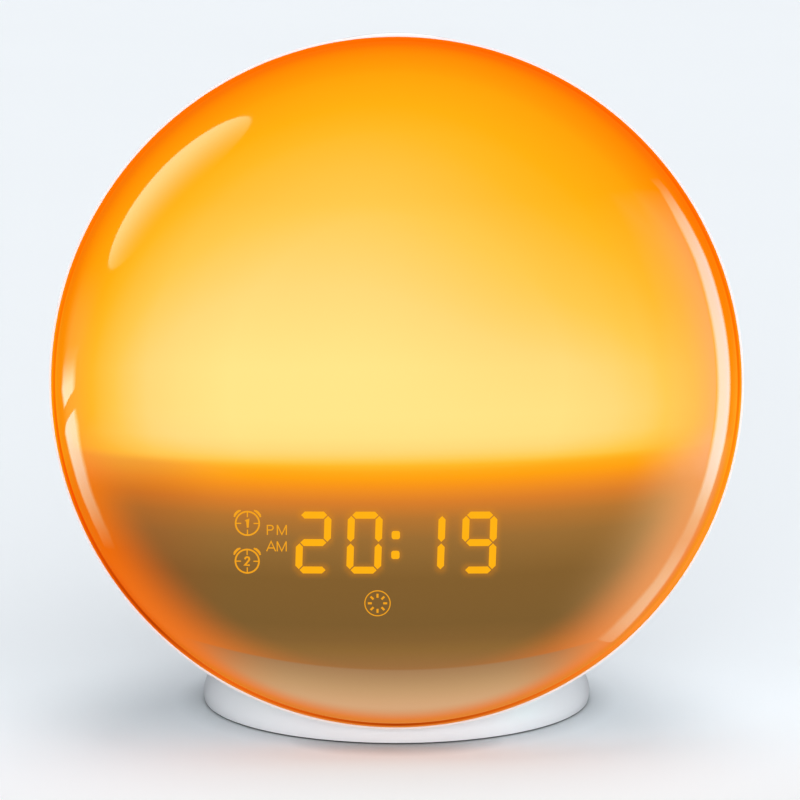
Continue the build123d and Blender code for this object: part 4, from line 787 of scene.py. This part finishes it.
reflected_card("left strip low", 9.4, "59FFBC", "59F4FC", SOFT_EDGES, [
    (-110, -46.3, 83.1, -32.9, 76.2, 1), (-110, -48.5, 78.1, -28.4, 72.1, 1),
    (-110, -48.8, 73.2, -29.7, 69.1, 0.97), (-110, -49.5, 68.9, -30.7, 66.1, 0.9),
    (-110, -51.1, 62, -32.6, 59.5, 0.8), (-110, -51.9, 53.9, -33.4, 52, 0.6),
    (-110, -54.5, 45.7, -35.6, 44.1, 0.4), (-110, -56.8, 36.8, -36.6, 35.4, 0.17),
    (-110, -58.2, 27, -35.8, 25.6, 0),
])
reflected_card("right veil", 3.2, "7CE0FF", "7CBCFF", SOFT_INNER_SIDE, [
    (112, -154.8, 226.4, -19.2, 167, 0), (112, -146.8, 187.8, -25.4, 142.7, 0.6),
    (112, -140, 149.6, -24.9, 117.5, 0.8), (112, -136.9, 123.2, -27.7, 100.1, 0.95),
    (112, -136.5, 99.2, -28.7, 83.2, 1), (112, -139.4, 82.8, -33.4, 71.8, 1),
    (112, -143.7, 73.4, -34.9, 64.8, 0.6), (112, -146.4, 60.8, -35.1, 55.4, 0),
])
# the highlight high on the left: a tilted oval, brightest along one side
LEAF_PLACE, LEAF_AIM = Vector((-0.236, -0.179, 0.321)), Vector((-0.0535, -0.028, 0.1367))
LEAF_WIDTH, LEAF_HEIGHT, LEAF_TURN, LEAF_RADIANCE = 0.134, 0.224, -28, 6.5
leaf = bpy.data.lights.new("leaf card", "AREA")
leaf.shape = "ELLIPSE"
leaf.size, leaf.size_y = LEAF_WIDTH, LEAF_HEIGHT
leaf.energy = LEAF_RADIANCE * math.pi * LEAF_WIDTH * LEAF_HEIGHT
leaf.color = linear("FFFFDA")[:3]
leaf.use_nodes = True
own = leaf.node_tree
own.nodes.clear()
where = add_node(own, "ShaderNodeNewGeometry")
part = add_node(own, "ShaderNodeSeparateXYZ", {"Vector": where.outputs["Parametric"]})
fade = add_node(own, "ShaderNodeMapRange", {"Value": part.outputs["X"], "From Min": 1.0, "From Max": 0.05},
                interpolation_type="SMOOTHSTEP")
fading = add_node(own, "ShaderNodeEmission", {"Strength": fade.outputs["Result"]})
add_node(own, "ShaderNodeOutputLight", {"Surface": fading.outputs[0]})
leaf_object = bpy.data.objects.new("leaf card", leaf)
bpy.context.scene.collection.objects.link(leaf_object)
leaf_object.location = LEAF_PLACE
facing = (LEAF_AIM - LEAF_PLACE).to_track_quat("-Z", "Y").to_matrix()
leaf_object.rotation_euler = (facing @ Matrix.Rotation(math.radians(LEAF_TURN), 3, "Z")).to_euler()
leaf_object.visible_camera = leaf_object.visible_diffuse = False

camera = bpy.data.cameras.new("camera")
camera.lens = 156.198
camera.sensor_width = 36
camera.clip_end = 50
camera_object = bpy.data.objects.new("camera", camera)
bpy.context.scene.collection.objects.link(camera_object)
camera_object.location = (0.000881, -0.858292, 0.246385)
aim = Vector((0.000881, HEAD_Y * MM, 0.084197))
camera_object.rotation_euler = (aim - camera_object.location).to_track_quat("-Z", "Y").to_euler()
bpy.context.scene.camera = camera_object
bpy.context.scene.view_settings.view_transform = "Standard"
